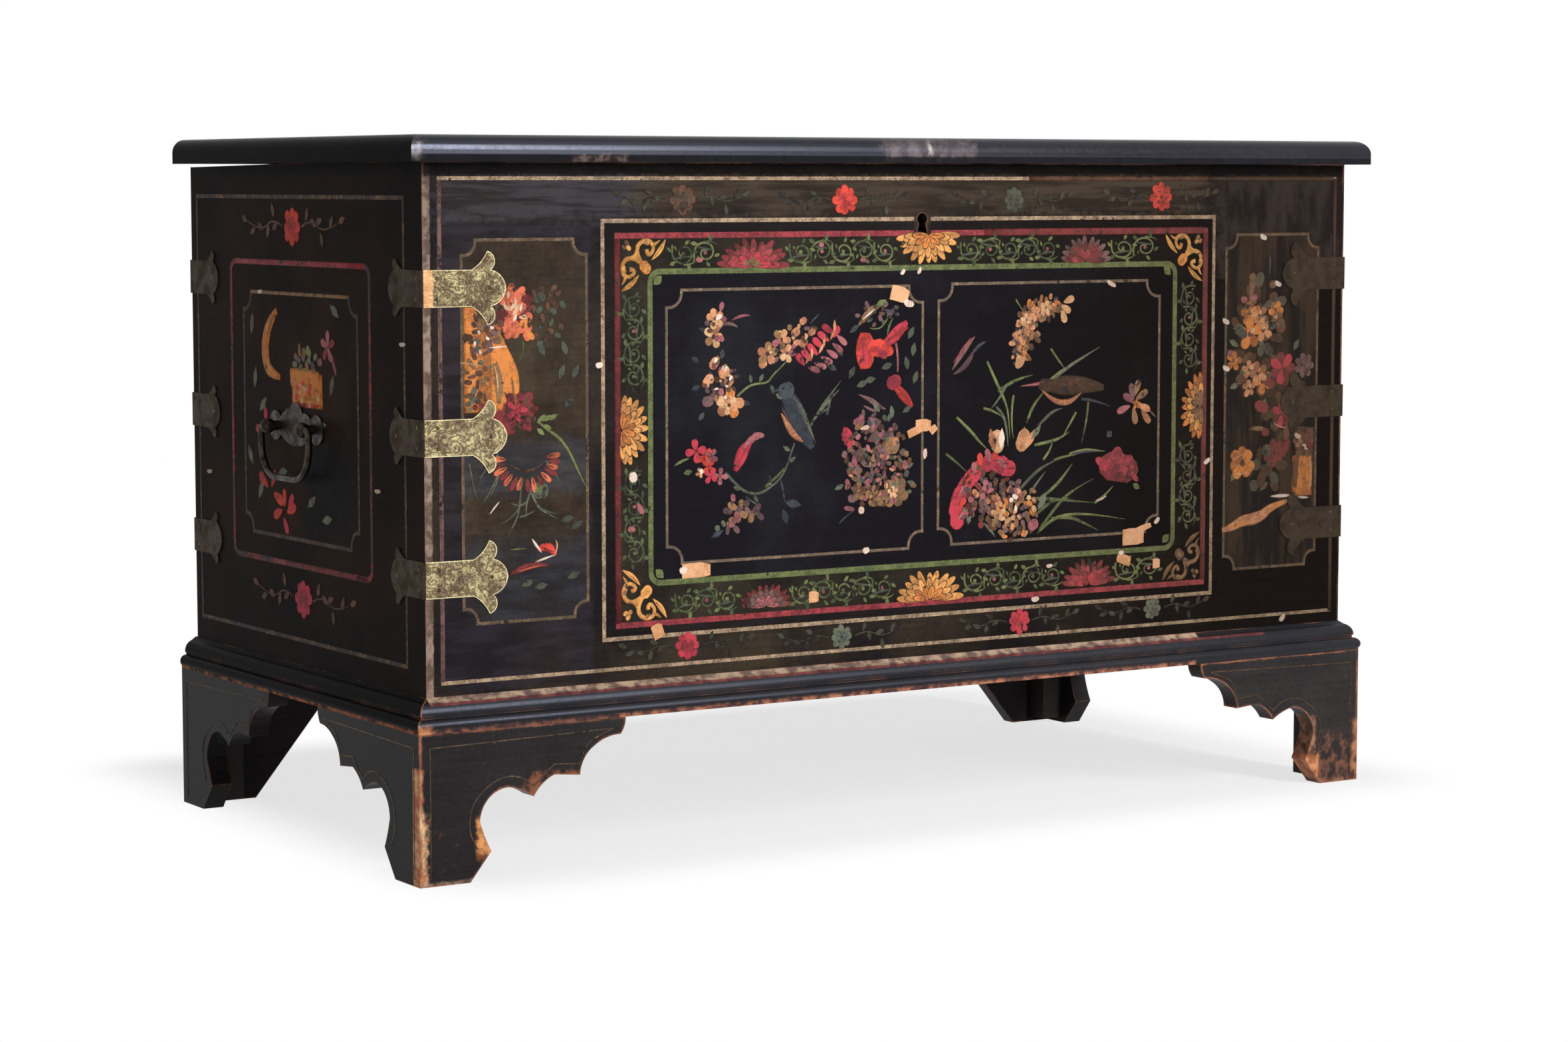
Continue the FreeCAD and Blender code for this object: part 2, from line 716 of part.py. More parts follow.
# Feet. s runs in from the outer corner along the bracket, t up from the floor
def scalloped_bracket(place, thickness_vector):
    def mid(a, b, share_s, share_t):
        # Arc point: the middle of a side, bowed by shares of the toe's bulge
        bow = toe_bulge - toe_width
        return ((a[0] + b[0]) / 2 + share_s * bow, (a[1] + b[1]) / 2 + share_t * bow)
    toe = (toe_width, 0.0)
    bulge = (toe_bulge, toe_rise)
    waist = (waist_width, waist_height)
    arch_top = (arch_top_width, arch_top_height)
    cusp = (cusp_width, cusp_height)
    step_start = (step_start_width, step_start_height)
    step_end = (step_end_width, step_end_height)
    shoulder = (shoulder_width, shoulder_height)
    nose = (nose_width, nose_height)
    end = (bracket_length, case_base_height)
    # Each side: its start, its end, and the shares its arc bows by, or none for a straight side
    sides = [
        (toe, bulge, None), (bulge, waist, (-0.045, 0.0)), (waist, arch_top, (-0.29, 0.27)),
        (arch_top, cusp, (0.05, 0.05)), (cusp, step_start, (-0.08, 0.08)),
        (step_start, step_end, None), (step_end, shoulder, (-0.135, 0.135)),
        (shoulder, nose, (-0.048, 0.096)), (nose, end, (0.056, -0.056)),
    ]
    steps = [(place(*toe),)]
    for begin, finish, shares in sides:
        if shares is None:
            steps.append((place(*finish),))
        else:
            steps.append((place(*mid(begin, finish, *shares)), place(*finish)))
    steps.append((place(0, case_base_height),))
    steps.append((place(0, 0),))
    return prism(place(0, 0), steps, thickness_vector)


def foot_mitre(along_x):
    outer = (foot_left_x, foot_front_y)
    inner = (foot_left_x + bracket_thickness, foot_front_y + bracket_thickness)
    return mitre_tool(outer, inner, (0, case_base_height), along_x)


def make_front_left_foot_front_bracket():
    bracket = scalloped_bracket(lambda s, t: V(foot_left_x + s, foot_front_y, t), V(0, bracket_thickness, 0))
    return bracket.cut(foot_mitre(True))


def make_front_left_foot_side_bracket():
    bracket = scalloped_bracket(lambda s, t: V(foot_left_x, foot_front_y + s, t), V(bracket_thickness, 0, 0))
    return bracket.cut(foot_mitre(False))


def make_rear_left_foot_side_bracket():
    return scalloped_bracket(lambda s, t: V(foot_left_x, foot_rear_y - s, t), V(bracket_thickness, 0, 0))


def make_rear_left_foot_back_bracket():
    start_x = foot_left_x + bracket_thickness
    points = [
        V(start_x, foot_rear_y, 0), V(foot_left_x + back_toe_width, foot_rear_y, 0),
        V(foot_left_x + back_bracket_length, foot_rear_y, case_base_height),
        V(start_x, foot_rear_y, case_base_height),
    ]
    return polygon_prism(points, V(0, -back_bracket_thickness, 0))


def make_left_glue_block(rear):
    start_x = foot_left_x + bracket_thickness
    if rear:
        end_y = foot_rear_y - back_bracket_thickness
        y_span = (end_y - glue_block_side, end_y)
    else:
        start_y = foot_front_y + bracket_thickness
        y_span = (start_y, start_y + glue_block_side)
    return block((start_x, start_x + glue_block_side), y_span, (glue_block_lift, case_base_height))


# Lid
def lid_edge_prism(place, direction):
    # p runs in from the outer edge, h up from the underside
    straight = lid_thickness - lid_edge_radius
    bow = lid_edge_radius * (1 - cos(radians(45)))
    steps = [
        (place(0, straight),),
        (place(bow, lid_thickness - bow), place(lid_edge_radius, lid_thickness)),
        (place(lid_edging_width, lid_thickness),), (place(lid_edging_width, 0),), (place(0, 0),),
    ]
    return prism(place(0, 0), steps, direction)


def lid_mitre(right, along_x):
    side = 1 if right else -1
    outer = (side * lid_width / 2, lid_front_y)
    inner = (outer[0] - side * lid_edging_width, lid_front_y + lid_edging_width)
    return mitre_tool(outer, inner, (case_top_height, case_top_height + lid_thickness), along_x)


def make_lid_front_moulding():
    half = lid_width / 2
    bar = lid_edge_prism(lambda p, h: V(-half, lid_front_y + p, case_top_height + h), V(lid_width, 0, 0))
    return bar.cut([lid_mitre(right, True) for right in (False, True)])


def make_lid_left_moulding():
    half = lid_width / 2
    length = V(0, back_y - lid_front_y, 0)
    bar = lid_edge_prism(lambda p, h: V(-half + p, lid_front_y, case_top_height + h), length)
    return bar.cut(lid_mitre(False, False))


def make_lid_board():
    reach = lid_width / 2 - lid_edging_width
    board = block((-reach, reach), (lid_front_y + lid_edging_width, back_y),
                  (case_top_height, case_top_height + lid_thickness))
    return board.cut(all_hinge_screws(True, pin_clearance) + strike_screw_shapes(pin_clearance))


def build_parts():
    left_end = make_left_end_board()
    left_plinth = make_left_plinth_moulding()
    left_edging = make_lid_left_moulding()
    parts = {
        "front_board": make_front_board(), "back_board": make_back_board(),
        "bottom_board": make_bottom_board(),
        "left_end_board": left_end, "right_end_board": mirrored(left_end),
        "front_plinth_moulding": make_front_plinth_moulding(), "rear_plinth_rail": make_rear_plinth_rail(),
        "left_plinth_moulding": left_plinth, "right_plinth_moulding": mirrored(left_plinth),
        "lid_board": make_lid_board(), "lid_front_moulding": make_lid_front_moulding(),
        "lid_left_moulding": left_edging, "lid_right_moulding": mirrored(left_edging),
        "lock_cap": make_lock_cap(), "lock_case": make_lock_case(), "lock_bolt": make_lock_bolt(),
        "lock_screws": Part.makeCompound(lock_screw_shapes(0.0)),
        "lock_strike": make_lock_strike(), "strike_screws": Part.makeCompound(strike_screw_shapes(0.0)),
        "strap_pins": Part.makeCompound(all_strap_pins(0)),
        "hinge_case_screws": Part.makeCompound(all_hinge_screws(False, 0.0)),
        "hinge_lid_screws": Part.makeCompound(all_hinge_screws(True, 0.0)),
    }
    brackets = {
        "front_{}_foot_front_bracket": make_front_left_foot_front_bracket(),
        "front_{}_foot_side_bracket": make_front_left_foot_side_bracket(),
        "rear_{}_foot_side_bracket": make_rear_left_foot_side_bracket(),
        "rear_{}_foot_back_bracket": make_rear_left_foot_back_bracket(),
        "front_{}_glue_block": make_left_glue_block(False),
        "rear_{}_glue_block": make_left_glue_block(True),
    }
    for name, shape in brackets.items():
        parts[name.format("left")] = shape
        parts[name.format("right")] = mirrored(shape)
    handle = {"handle_plate": make_handle_plate(), "handle_posts": make_handle_posts(), "bail": make_bail()}
    for name, shape in handle.items():
        parts["left_" + name] = shape
        parts["right_" + name] = turned_to_right_end(shape)
    nuts = make_handle_nuts()
    parts["handle_nuts"] = Part.makeCompound(nuts.Solids + turned_to_right_end(nuts).Solids)
    for corner, (right, rear) in strap_corners.items():
        for level, height in strap_heights.items():
            parts["{}_{}_strap".format(corner, level)] = corner_strap(right, rear, height)
    for side, x in zip(("left", "right"), hinge_places):
        parts[side + "_hinge_case_leaf"] = make_hinge_case_leaf(x)
        parts[side + "_hinge_lid_leaf"] = make_hinge_lid_leaf(x)
        parts[side + "_hinge_pin"] = make_hinge_pin(x)
    return parts


os.makedirs("parts", exist_ok=True)
for part_name, part_shape in build_parts().items():
    part_shape.exportStep("parts/" + part_name + ".step")
    print(part_name, len(part_shape.Solids), "solids", round(part_shape.Volume), "mm3", part_shape.isValid())
print("front_y", front_y, "back_y", back_y, "hinge axis", hinge_axis_y, hinge_axis_z)
print("overall depth", overall_depth, "bail axis", bail_axis_x, bail_axis_y)
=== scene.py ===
import math
import random
from functools import partial
from itertools import cycle

import bpy
from mathutils import Matrix, Vector


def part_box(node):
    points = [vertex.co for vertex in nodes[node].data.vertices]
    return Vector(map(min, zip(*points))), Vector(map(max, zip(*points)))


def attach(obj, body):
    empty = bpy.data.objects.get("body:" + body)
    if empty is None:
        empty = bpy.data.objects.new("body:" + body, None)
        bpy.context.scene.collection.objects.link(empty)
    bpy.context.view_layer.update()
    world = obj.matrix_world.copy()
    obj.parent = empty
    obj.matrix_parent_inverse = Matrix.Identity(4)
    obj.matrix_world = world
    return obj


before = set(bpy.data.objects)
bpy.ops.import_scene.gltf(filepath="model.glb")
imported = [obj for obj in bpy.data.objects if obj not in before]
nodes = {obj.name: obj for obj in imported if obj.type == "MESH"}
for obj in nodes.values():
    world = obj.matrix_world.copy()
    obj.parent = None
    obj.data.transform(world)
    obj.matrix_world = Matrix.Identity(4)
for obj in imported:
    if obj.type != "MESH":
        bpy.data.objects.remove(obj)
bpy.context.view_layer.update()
mm = 0.001

print("chest: the packed frame is in")


def deselectAll():
    if bpy.context.object is not None and bpy.context.object.mode != "OBJECT":
        bpy.ops.object.mode_set(mode="OBJECT")
    bpy.ops.object.select_all(action="DESELECT")


def linear(hexColour):
    parts = [int(hexColour[i:i + 2], 16) / 255 for i in (1, 3, 5)]
    return [p / 12.92 if p <= 0.04045 else ((p + 0.055) / 1.055) ** 2.4 for p in parts] + [1.0]


def fill(node, values):
    # a node or a socket is joined to the input, a hex colour or a number is set on it
    for key, value in values.items():
        if isinstance(value, bpy.types.Node):
            value = next(output for output in value.outputs if output.enabled)
        if isinstance(value, bpy.types.NodeSocket):
            node.id_data.links.new(value, node.inputs[key])
        elif value is not None:
            node.inputs[key].default_value = linear(value) if isinstance(value, str) else value


def addNode(tree, kind, settings, *values):
    # settings are the node's own properties; the values fill, in order, the inputs that it then shows
    node = tree.nodes.new("ShaderNode" + kind)
    for key, value in (settings or {}).items():
        setattr(node, key, value)
    fill(node, dict(zip([k for k, socket in enumerate(node.inputs) if socket.enabled], values)))
    return node


# the settings that come back most often
plus, minus, times, timesPlus, largest, above, below, unsigned, sine = (
    {"operation": word} for word in ("ADD", "SUBTRACT", "MULTIPLY", "MULTIPLY_ADD", "MAXIMUM",
                                     "GREATER_THAN", "LESS_THAN", "ABSOLUTE", "SINE"))
overlay = {"data_type": "RGBA"}
smooth = {"interpolation_type": "SMOOTHSTEP"}   # 0 at the first limit and 1 at the second, either way round


def newMaterial(name):
    # add puts a node in this material; place is where a point of the piece is, in metres
    material = bpy.data.materials.new(name)
    material.use_nodes = True
    add = partial(addNode, material.node_tree)
    place = add("TexCoord", None).outputs["Object"]
    return material, add, material.node_tree.nodes["Principled BSDF"], place


def speckle(add, place, size, detail=4.0, stretch=None):
    # size is in metres; a stretch of (1, 1, 20) lays the pattern in level streaks
    if stretch:
        place = add("Mapping", None, place, None, None, stretch)
    return add("TexNoise", None, place, 1 / size, detail, 0.6)


# Bare pine inside the case: honey brown between the growth rings, grimy along them.
wornWood = {"fresh": "#b38a5f", "aged": "#8e6541", "grimy": "#5a3d28"}


def woodGrain(add, place, tones):
    # growth rings some 7 mm apart run the length of the board, with fine fibres between them
    rings = add("Math", times, speckle(add, place, 1.0, 2.0, (1.1, 13, 13)), 130)
    rings = add("Math", times, add("Math", sine, rings), 0.1)
    fibres = add("Math", plus, speckle(add, place, 1.0, 5.0, (7, 300, 300)), speckle(add, place, 0.18, 3.0))
    ramp = add("ValToRGB", None, add("Math", plus, add("Math", times, fibres, 0.5), rings))
    stops = ramp.color_ramp.elements
    stops.new(1.0)
    for stop, position, tone in zip(stops, (0.3, 0.5, 0.72), ("grimy", "aged", "fresh")):
        stop.position = position
        stop.color = linear(tones[tone])
    return ramp


def within(add, place, axis, low, high, ragged):
    # 1 between two places along one axis (metres), with a ragged border
    rough = add("Math", minus, speckle(add, place, 0.006), 0.5)
    level = add("SeparateXYZ", None, place).outputs[axis]
    level = add("Math", plus, level, add("Math", times, rough, ragged))
    soft = 0.25 * ragged + 0.2 * mm
    return add("Math", times, add("MapRange", smooth, level, low - soft, low + soft),
               add("MapRange", smooth, level, high + soft, high - soft))


def lacquer(name, look):
    # Oil lacquer over pine: deep, slightly brown black with a satin skin, cloudy from old varnish,
    # fine level cracks over the grain, rubbed to the wood along the arrises.
    material, add, shader, place = newMaterial(name)
    cloud = add("MapRange", smooth, speckle(add, place, look["cloudSize"], 6.0),
                0.6 - 0.25 * look["cloudShare"], 0.72)
    colour = add("Mix", overlay, cloud, look["ground"], look["cloud"])
    if look["rightShade"]:
        # painted shade: the colour darkens towards the right, where less lamp light falls
        across = add("SeparateXYZ", None, place).outputs[0]
        colour = add("Mix", overlay, add("MapRange", smooth, across, *look["rightShadeFrom"]), colour,
                     look["rightShade"])
    streak = speckle(add, place, 1.0, 5.0, (7, 7, 260))
    mottle = speckle(add, place, 0.004, 3.0)
    tone = add("Math", timesPlus, add("Math", plus, streak, mottle), 0.9, 0.1)
    colour = add("Mix", dict(overlay, blend_type="MULTIPLY"), look["streakShare"], colour, tone)
    # cracks along the grain, about 0.5 mm wide; the real ones are hair lines
    crack = add("Math", minus, speckle(add, place, 1.0, 4.0, (5, 5, 75)), 0.5)
    crack = add("MapRange", smooth, add("Math", unsigned, crack), 0.006, 0.001)
    crack = add("Math", times, crack, add("MapRange", smooth, speckle(add, place, 0.11, 2.0), 0.5, 0.62))
    colour = add("Mix", overlay, add("Math", times, crack, look["crackShare"]), colour, "#13110f")
    # pin-head chips down to the gesso and wood
    cells = add("TexVoronoi", None, place, 1 / look["chipSpacing"])
    rare = add("MapRange", smooth, cells.outputs["Color"], 1 - look["chipShare"],
               1 - look["chipShare"] + 0.01)
    chip = add("Math", times, add("MapRange", smooth, cells.outputs["Distance"], 0.12, 0.05), rare)
    colour = add("Mix", overlay, chip, colour, look["chip"])
    for bounds, ragged, share, darker, paler, *grain in look["zones"]:
        inside = share
        for axis, low, high in bounds:
            inside = add("Math", times, within(add, place, axis, low, high, ragged), inside)
        tones = speckle(add, place, 1.0, 5.0, *(grain or [(83, 83, 83)]))
        tones = add("Mix", overlay, add("MapRange", smooth, tones, 0.4, 0.62), darker, paler)
        colour = add("Mix", overlay, inside, colour, tones)
    # rubbed arrises, broken up by two sizes of noise, whole in places
    rounded = add("Bevel", {"samples": 8}, look["edgeWidth"])
    flat = add("NewGeometry", None).outputs["Normal"]
    bend = add("VectorMath", {"operation": "DOT_PRODUCT"}, rounded, flat)
    broken = add("Math", plus, speckle(add, place, 0.02, 5.0), speckle(add, place, 0.0035, 3.0))
    bend = add("Math", plus, bend, add("Math", times, add("Math", minus, broken, 1.0), 0.22))
    kept = add("MapRange", smooth, speckle(add, place, look["edgePatch"], 3.0),
               0.62 - 0.3 * look["edgeShare"], 0.66)
    edge = add("Math", times, add("MapRange", smooth, bend, look["edgeFrom"], look["edgeFrom"] - 0.06),
               add("Math", times, kept, look["edgeShare"]))
    worn = add("Mix", overlay, speckle(add, place, 0.006, 3.0), look["edgeAged"], look["edgeFresh"])
    colour = add("Mix", overlay, edge, colour, worn)
    if look["plain"]:
        axis, limit, side = look["plain"]
        inner = add("Math", side, add("SeparateXYZ", None, place).outputs[axis], limit)
        for overAxis, low, high in look["overhang"]:
            inner = add("Math", times, inner, within(add, place, overAxis, low, high, 0.0))
        colour = add("Mix", overlay, inner, colour, woodGrain(add, place, wornWood))
        edge = add("Math", largest, edge, inner)
    gloss = add("Math", timesPlus, mottle, 0.22, look["roughness"] - 0.11)
    rough = add("Math", largest, gloss, add("Math", times, edge, 0.75))
    if look["matteBelow"]:
        height = add("SeparateXYZ", None, place).outputs[2]
        matte = add("MapRange", smooth, height, look["matteBelow"] + mm, look["matteBelow"] - mm)
        rough = add("Math", largest, rough, add("Math", times, matte, 0.95))
    relief = add("Math", minus, add("Math", times, streak, 0.25),
                 add("Math", plus, crack, add("Math", plus, edge, chip)))
    fill(shader, {"Base Color": colour, "Roughness": rough, "Specular IOR Level": look["specular"],
                  "Specular Tint": look["sheen"],
                  "Normal": add("Bump", None, look["bump"], 0.6 * mm, None, relief)})
    return material


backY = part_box("back_board")[1].y
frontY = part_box("front_board")[0].y
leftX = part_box("left_end_board")[0].x
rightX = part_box("right_end_board")[1].x
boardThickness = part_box("left_end_board")[1].x - leftX
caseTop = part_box("front_board")[1].z
lidBottom, lidTop = (corner.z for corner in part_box("lid_board"))
plinthFoot, plinthTop = (corner.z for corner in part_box("front_plinth_moulding"))
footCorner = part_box("front_left_foot_front_bracket")[0]
bailY = sum(corner.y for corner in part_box("left_bail")) / 2
hair = 0.2 * mm

# Sizes are in metres. The wood is bare past the limit named by plain: its axis, its place and the side;
# overhang keeps that to the inside of the case. A zone is a rubbed, repaired or gilded part of the surface,
# or a band of painted shade or painted sheen: its bounds (axis, low, high), how ragged it is, its share,
# a darker and a paler tone, and its grain.
caseLook = {"ground": "#1d181a", "cloud": "#3c3328", "cloudSize": 0.12, "cloudShare": 0.9,
            "streakShare": 0.8, "crackShare": 0.8, "chipSpacing": 0.009, "chipShare": 0.012,
            "chip": "#b8a093", "edgeWidth": 0.004, "edgeFrom": 0.92, "edgeShare": 0.9, "edgePatch": 0.08,
            "edgeAged": "#54362f", "edgeFresh": "#ad7f69", "roughness": 0.42, "specular": 0.02, "bump": 0.3,
            "rightShade": "#120d0a", "rightShadeFrom": (-0.2, 0.45), "sheen": "#ffffff", "plain": None, "overhang": (),
            "matteBelow": None, "zones": ()}
# painted shadow: the top of the case just under the lid's overhang is darkened almost to black
underLidPaintedShadow = (((2, caseTop - 0.011, caseTop + 0.01),), 0.008, 0.95, "#0b0909", "#130f0e")

# The front board's left corner is rubbed in a broad stripe, and the varnish has bloomed in level clouds.
# The grey-violet clouds at the upper left and down the left strip are partly that bloom and partly a painted
# sheen that stands in for the lamps' reflection; under the lid lies a painted shadow.
frontLook = dict(caseLook, plain=(1, frontY + boardThickness - hair, above), zones=(
    (((0, leftX - 0.01, leftX + 0.007),), 0.003, 0.75, "#6f5c51", "#b49b89"),
    # partly bloom, partly painted sheen: a grey-violet cloud over the upper left of the front
    (((2, 0.55, 0.62), (0, -0.49, -0.29)), 0.06, 0.6, "#2b292b", "#4b484e", (14, 14, 130)),
    (((2, 0.556, 0.62), (0, -0.3, 0.33)), 0.06, 0.5, "#362d24", "#574a3d", (14, 14, 130)),
    (((2, 0.5, 0.62), (0, 0.34, 0.51)), 0.05, 0.55, "#231d1b", "#3c332e", (50, 50, 20)),
    # partly bloom, partly painted sheen: grey-violet clouds down the left strip; then the painted shadow
    # under the lid
    (((2, 0.16, 0.55), (0, -0.487, -0.34)), 0.012, 0.6, "#231f24", "#342f38", (20, 20, 90)), underLidPaintedShadow))
endLook = dict(caseLook, ground="#0f0a09", cloud="#261810", cloudShare=1.0, specular=0.01,
               edgeShare=0.6, edgeWidth=0.0022, rightShade=None, zones=(underLidPaintedShadow,))
lidLook = dict(caseLook, ground="#121113", cloud="#201d21", cloudSize=0.2, roughness=0.26, specular=0.36,
               bump=0.05, sheen="#cdd4ee", edgeFrom=0.86, edgeWidth=0.0012, edgeShare=0.5, chipShare=0.02,
               chip="#d0b7ad", rightShade=None)
bareUnderLid = {"plain": (2, lidBottom + hair, below),
                "overhang": ((0, leftX + boardThickness, rightX - boardThickness),
                             (1, frontY + boardThickness, backY - boardThickness))}
# painted shade: the lowest 5 mm of the lid's edge is darkened almost to black
lidLowerPaintedShade = (((2, lidBottom - 0.01, lidBottom + 0.0055),), 0.003, 0.9, "#090707", "#110e0e")
# on the front edge: a greyish old repair over the lock with a narrow pale streak in it, a painted highlight;
# chips at the left corner and along the lower arris
lidFrontLook = dict(lidLook, **bareUnderLid, roughness=0.24, matteBelow=lidBottom + 0.0065, zones=(
    (((0, -0.052, 0.046), (2, lidBottom + 0.0035, lidBottom + 0.0205)), 0.022, 0.85, "#4b4142", "#726665"),
    (((0, -0.004, 0.0), (2, lidBottom + 0.008, lidBottom + 0.018)), 0.012, 0.8, "#bbb0ad", "#e6dbd5"),
    lidLowerPaintedShade,
    (((0, -0.6, -0.509), (2, lidBottom + 0.006, lidBottom + 0.017)), 0.02, 0.8, "#4e4646", "#b9afab"),
    (((0, -0.365, -0.315), (2, lidBottom + 0.002, lidBottom + 0.0045)), 0.018, 0.6, "#3b2b2a", "#c9a79d")))
# the side mouldings are dull at the edge, with painted shade along the bottom; their top is painted paler,
# a painted sheen that matches the board's reflection
lidSideLook = dict(lidLook, ground="#0d0c0c", cloud="#1a1715", specular=0.008, zones=(
    lidLowerPaintedShade, (((2, lidTop - 0.0005, lidTop + 0.01),), 0.0, 1.0, "#3c3c44", "#45454e")))
# the plinth keeps its gilt edge above and shows orange wood along its foot
plinthLook = dict(
    lidLook, ground="#171618", cloud="#242121", edgeShare=0.6, edgeFrom=0.9, edgePatch=0.05,
    edgeWidth=0.0025, edgeAged="#5f2f28", edgeFresh="#d18a62", roughness=0.33, specular=0.24, zones=(
        (((2, plinthTop - 0.0042, plinthTop + 0.01), (0, leftX, 0.32)), 0.002, 0.8, "#7c645b", "#d2b498"),
        (((2, plinthTop - 0.0062, plinthTop - 0.0042), (0, leftX, 0.4)), 0.002, 0.7, "#652d2d", "#904642"),
        (((2, plinthFoot - 0.01, plinthFoot + 0.0035), (0, -0.33, 0.31)), 0.006, 0.7, "#4d2727", "#d18a64"),
        (((2, plinthFoot - 0.01, plinthFoot + 0.003), (0, -0.53, -0.33)), 0.006, 0.4, "#3f2024", "#c07e62"),
        (((0, -0.53, -0.503), (2, plinthFoot - 0.01, plinthFoot + 0.007)), 0.008, 0.8, "#8c5138",
         "#dc9460")))
plinthSideLook = dict(plinthLook, ground="#0e0c0c", cloud="#181414", specular=0.01, zones=(
    (((2, plinthFoot - 0.01, plinthFoot + 0.0025),), 0.005, 0.8, "#3f2520", "#d48554"),))
footLook = dict(plinthLook, ground="#282425", cloud="#34312f", specular=0.07, edgeWidth=0.005, edgeShare=1.0,
                edgeFrom=0.95, edgePatch=0.035, bump=0.15, edgeAged="#55302a", edgeFresh="#cb8560",
                roughness=0.42, chipShare=0.01, zones=())
sideFootLook = dict(footLook, ground="#262424", cloud="#322e2e", specular=0.05, edgeShare=0.6,
                    edgeWidth=0.003)
# the front left toe has lost its lacquer down the corner, more so near the floor, and round the corner
toeX, toeY = footCorner.x, footCorner.y
toeLook = dict(footLook, zones=(
    (((0, toeX - 0.01, toeX + 0.0025), (2, -0.01, 0.1)), 0.008, 0.95, "#b46d4b", "#f0c998"),
    (((0, toeX - 0.01, toeX + 0.006), (2, -0.01, 0.06)), 0.016, 0.95, "#c4764f", "#f0ca99"),
    (((0, toeX + 0.053, toeX + 0.073), (2, 0.018, 0.055)), 0.007, 0.9, "#784832", "#f0a668"),
    (((0, toeX + 0.1, toeX + 0.15), (2, 0.06, 0.088)), 0.012, 0.5, "#282123", "#b4704e"),
    (((2, -0.01, 0.003),), 0.006, 0.7, "#644f46", "#b89c8b")))
toeSideLook = dict(sideFootLook, zones=(
    (((1, toeY - 0.01, toeY + 0.0125), (2, -0.01, 0.1)), 0.004, 0.95, "#b8704c", "#f0c090"),))
# the right toe is rubbed all over, most along its slanting foot and up the waist
rightToeLook = dict(footLook, zones=(
    (((0, -toeX - 0.075, -toeX + 0.01), (2, -0.01, 0.046)), 0.03, 0.6, "#2f2628", "#8f5f49"),
    (((0, -toeX - 0.006, -toeX + 0.01), (2, -0.01, 0.06)), 0.012, 0.7, "#603b30", "#c28460"),
    (((0, -toeX - 0.08, -toeX - 0.05), (2, -0.01, 0.03)), 0.008, 0.85, "#9a5c3f", "#dc9668"),
    (((0, -toeX - 0.066, -toeX - 0.0535), (2, 0.03, 0.068)), 0.006, 0.7, "#5d4337", "#b08468"),
    (((2, -0.01, 0.004),), 0.008, 0.4, "#6d4233", "#c08a6c")))
materials = {name: lacquer(name, look) for name, look in {
    "blackLacquerFront": frontLook,
    "blackLacquerLeftEnd": dict(endLook, plain=(0, leftX + boardThickness - hair, above)),
    "blackLacquerRightEnd": dict(endLook, plain=(0, rightX - boardThickness + hair, below)),
    "blackLacquerBack": dict(endLook, plain=(1, backY - boardThickness + hair, below)),
    "blackLacquerLid": dict(lidLook, **bareUnderLid), "blackLacquerLidFront": lidFrontLook,
    "blackLacquerLidSides": lidSideLook, "blackLacquerPlinth": plinthLook,
    "blackLacquerPlinthSides": plinthSideLook, "blackLacquerFeet": footLook,
    "blackLacquerSideFeet": sideFootLook, "blackLacquerLeftToe": toeLook,
    "blackLacquerLeftToeSide": toeSideLook, "blackLacquerRightToe": rightToeLook,
}.items()}

print("chest: lacquer is mixed")


def plainWood(name, tones):
    # Planed pine that was never painted: straight grain, dull, browned by age.
    material, add, shader, place = newMaterial(name)
    bump = add("Bump", None, 0.4, 0.5 * mm, None, speckle(add, place, 1.0, 4.0, (6, 200, 200)))
    fill(shader, {"Base Color": woodGrain(add, place, tones), "Roughness": 0.7, "Specular IOR Level": 0.25,
                  "Normal": bump})
    return material


# the glue blocks are near-black pine: painted shade for the dark hollow inside the feet
for name, fresh, aged, grimy in (("agedPine", "#9a6b43", "#70482c", "#3e291c"),
                                 ("shadowDarkBlockPine", "#261f1b", "#1b1714", "#110e0c")):
    materials[name] = plainWood(name, {"fresh": fresh, "aged": aged, "grimy": grimy})


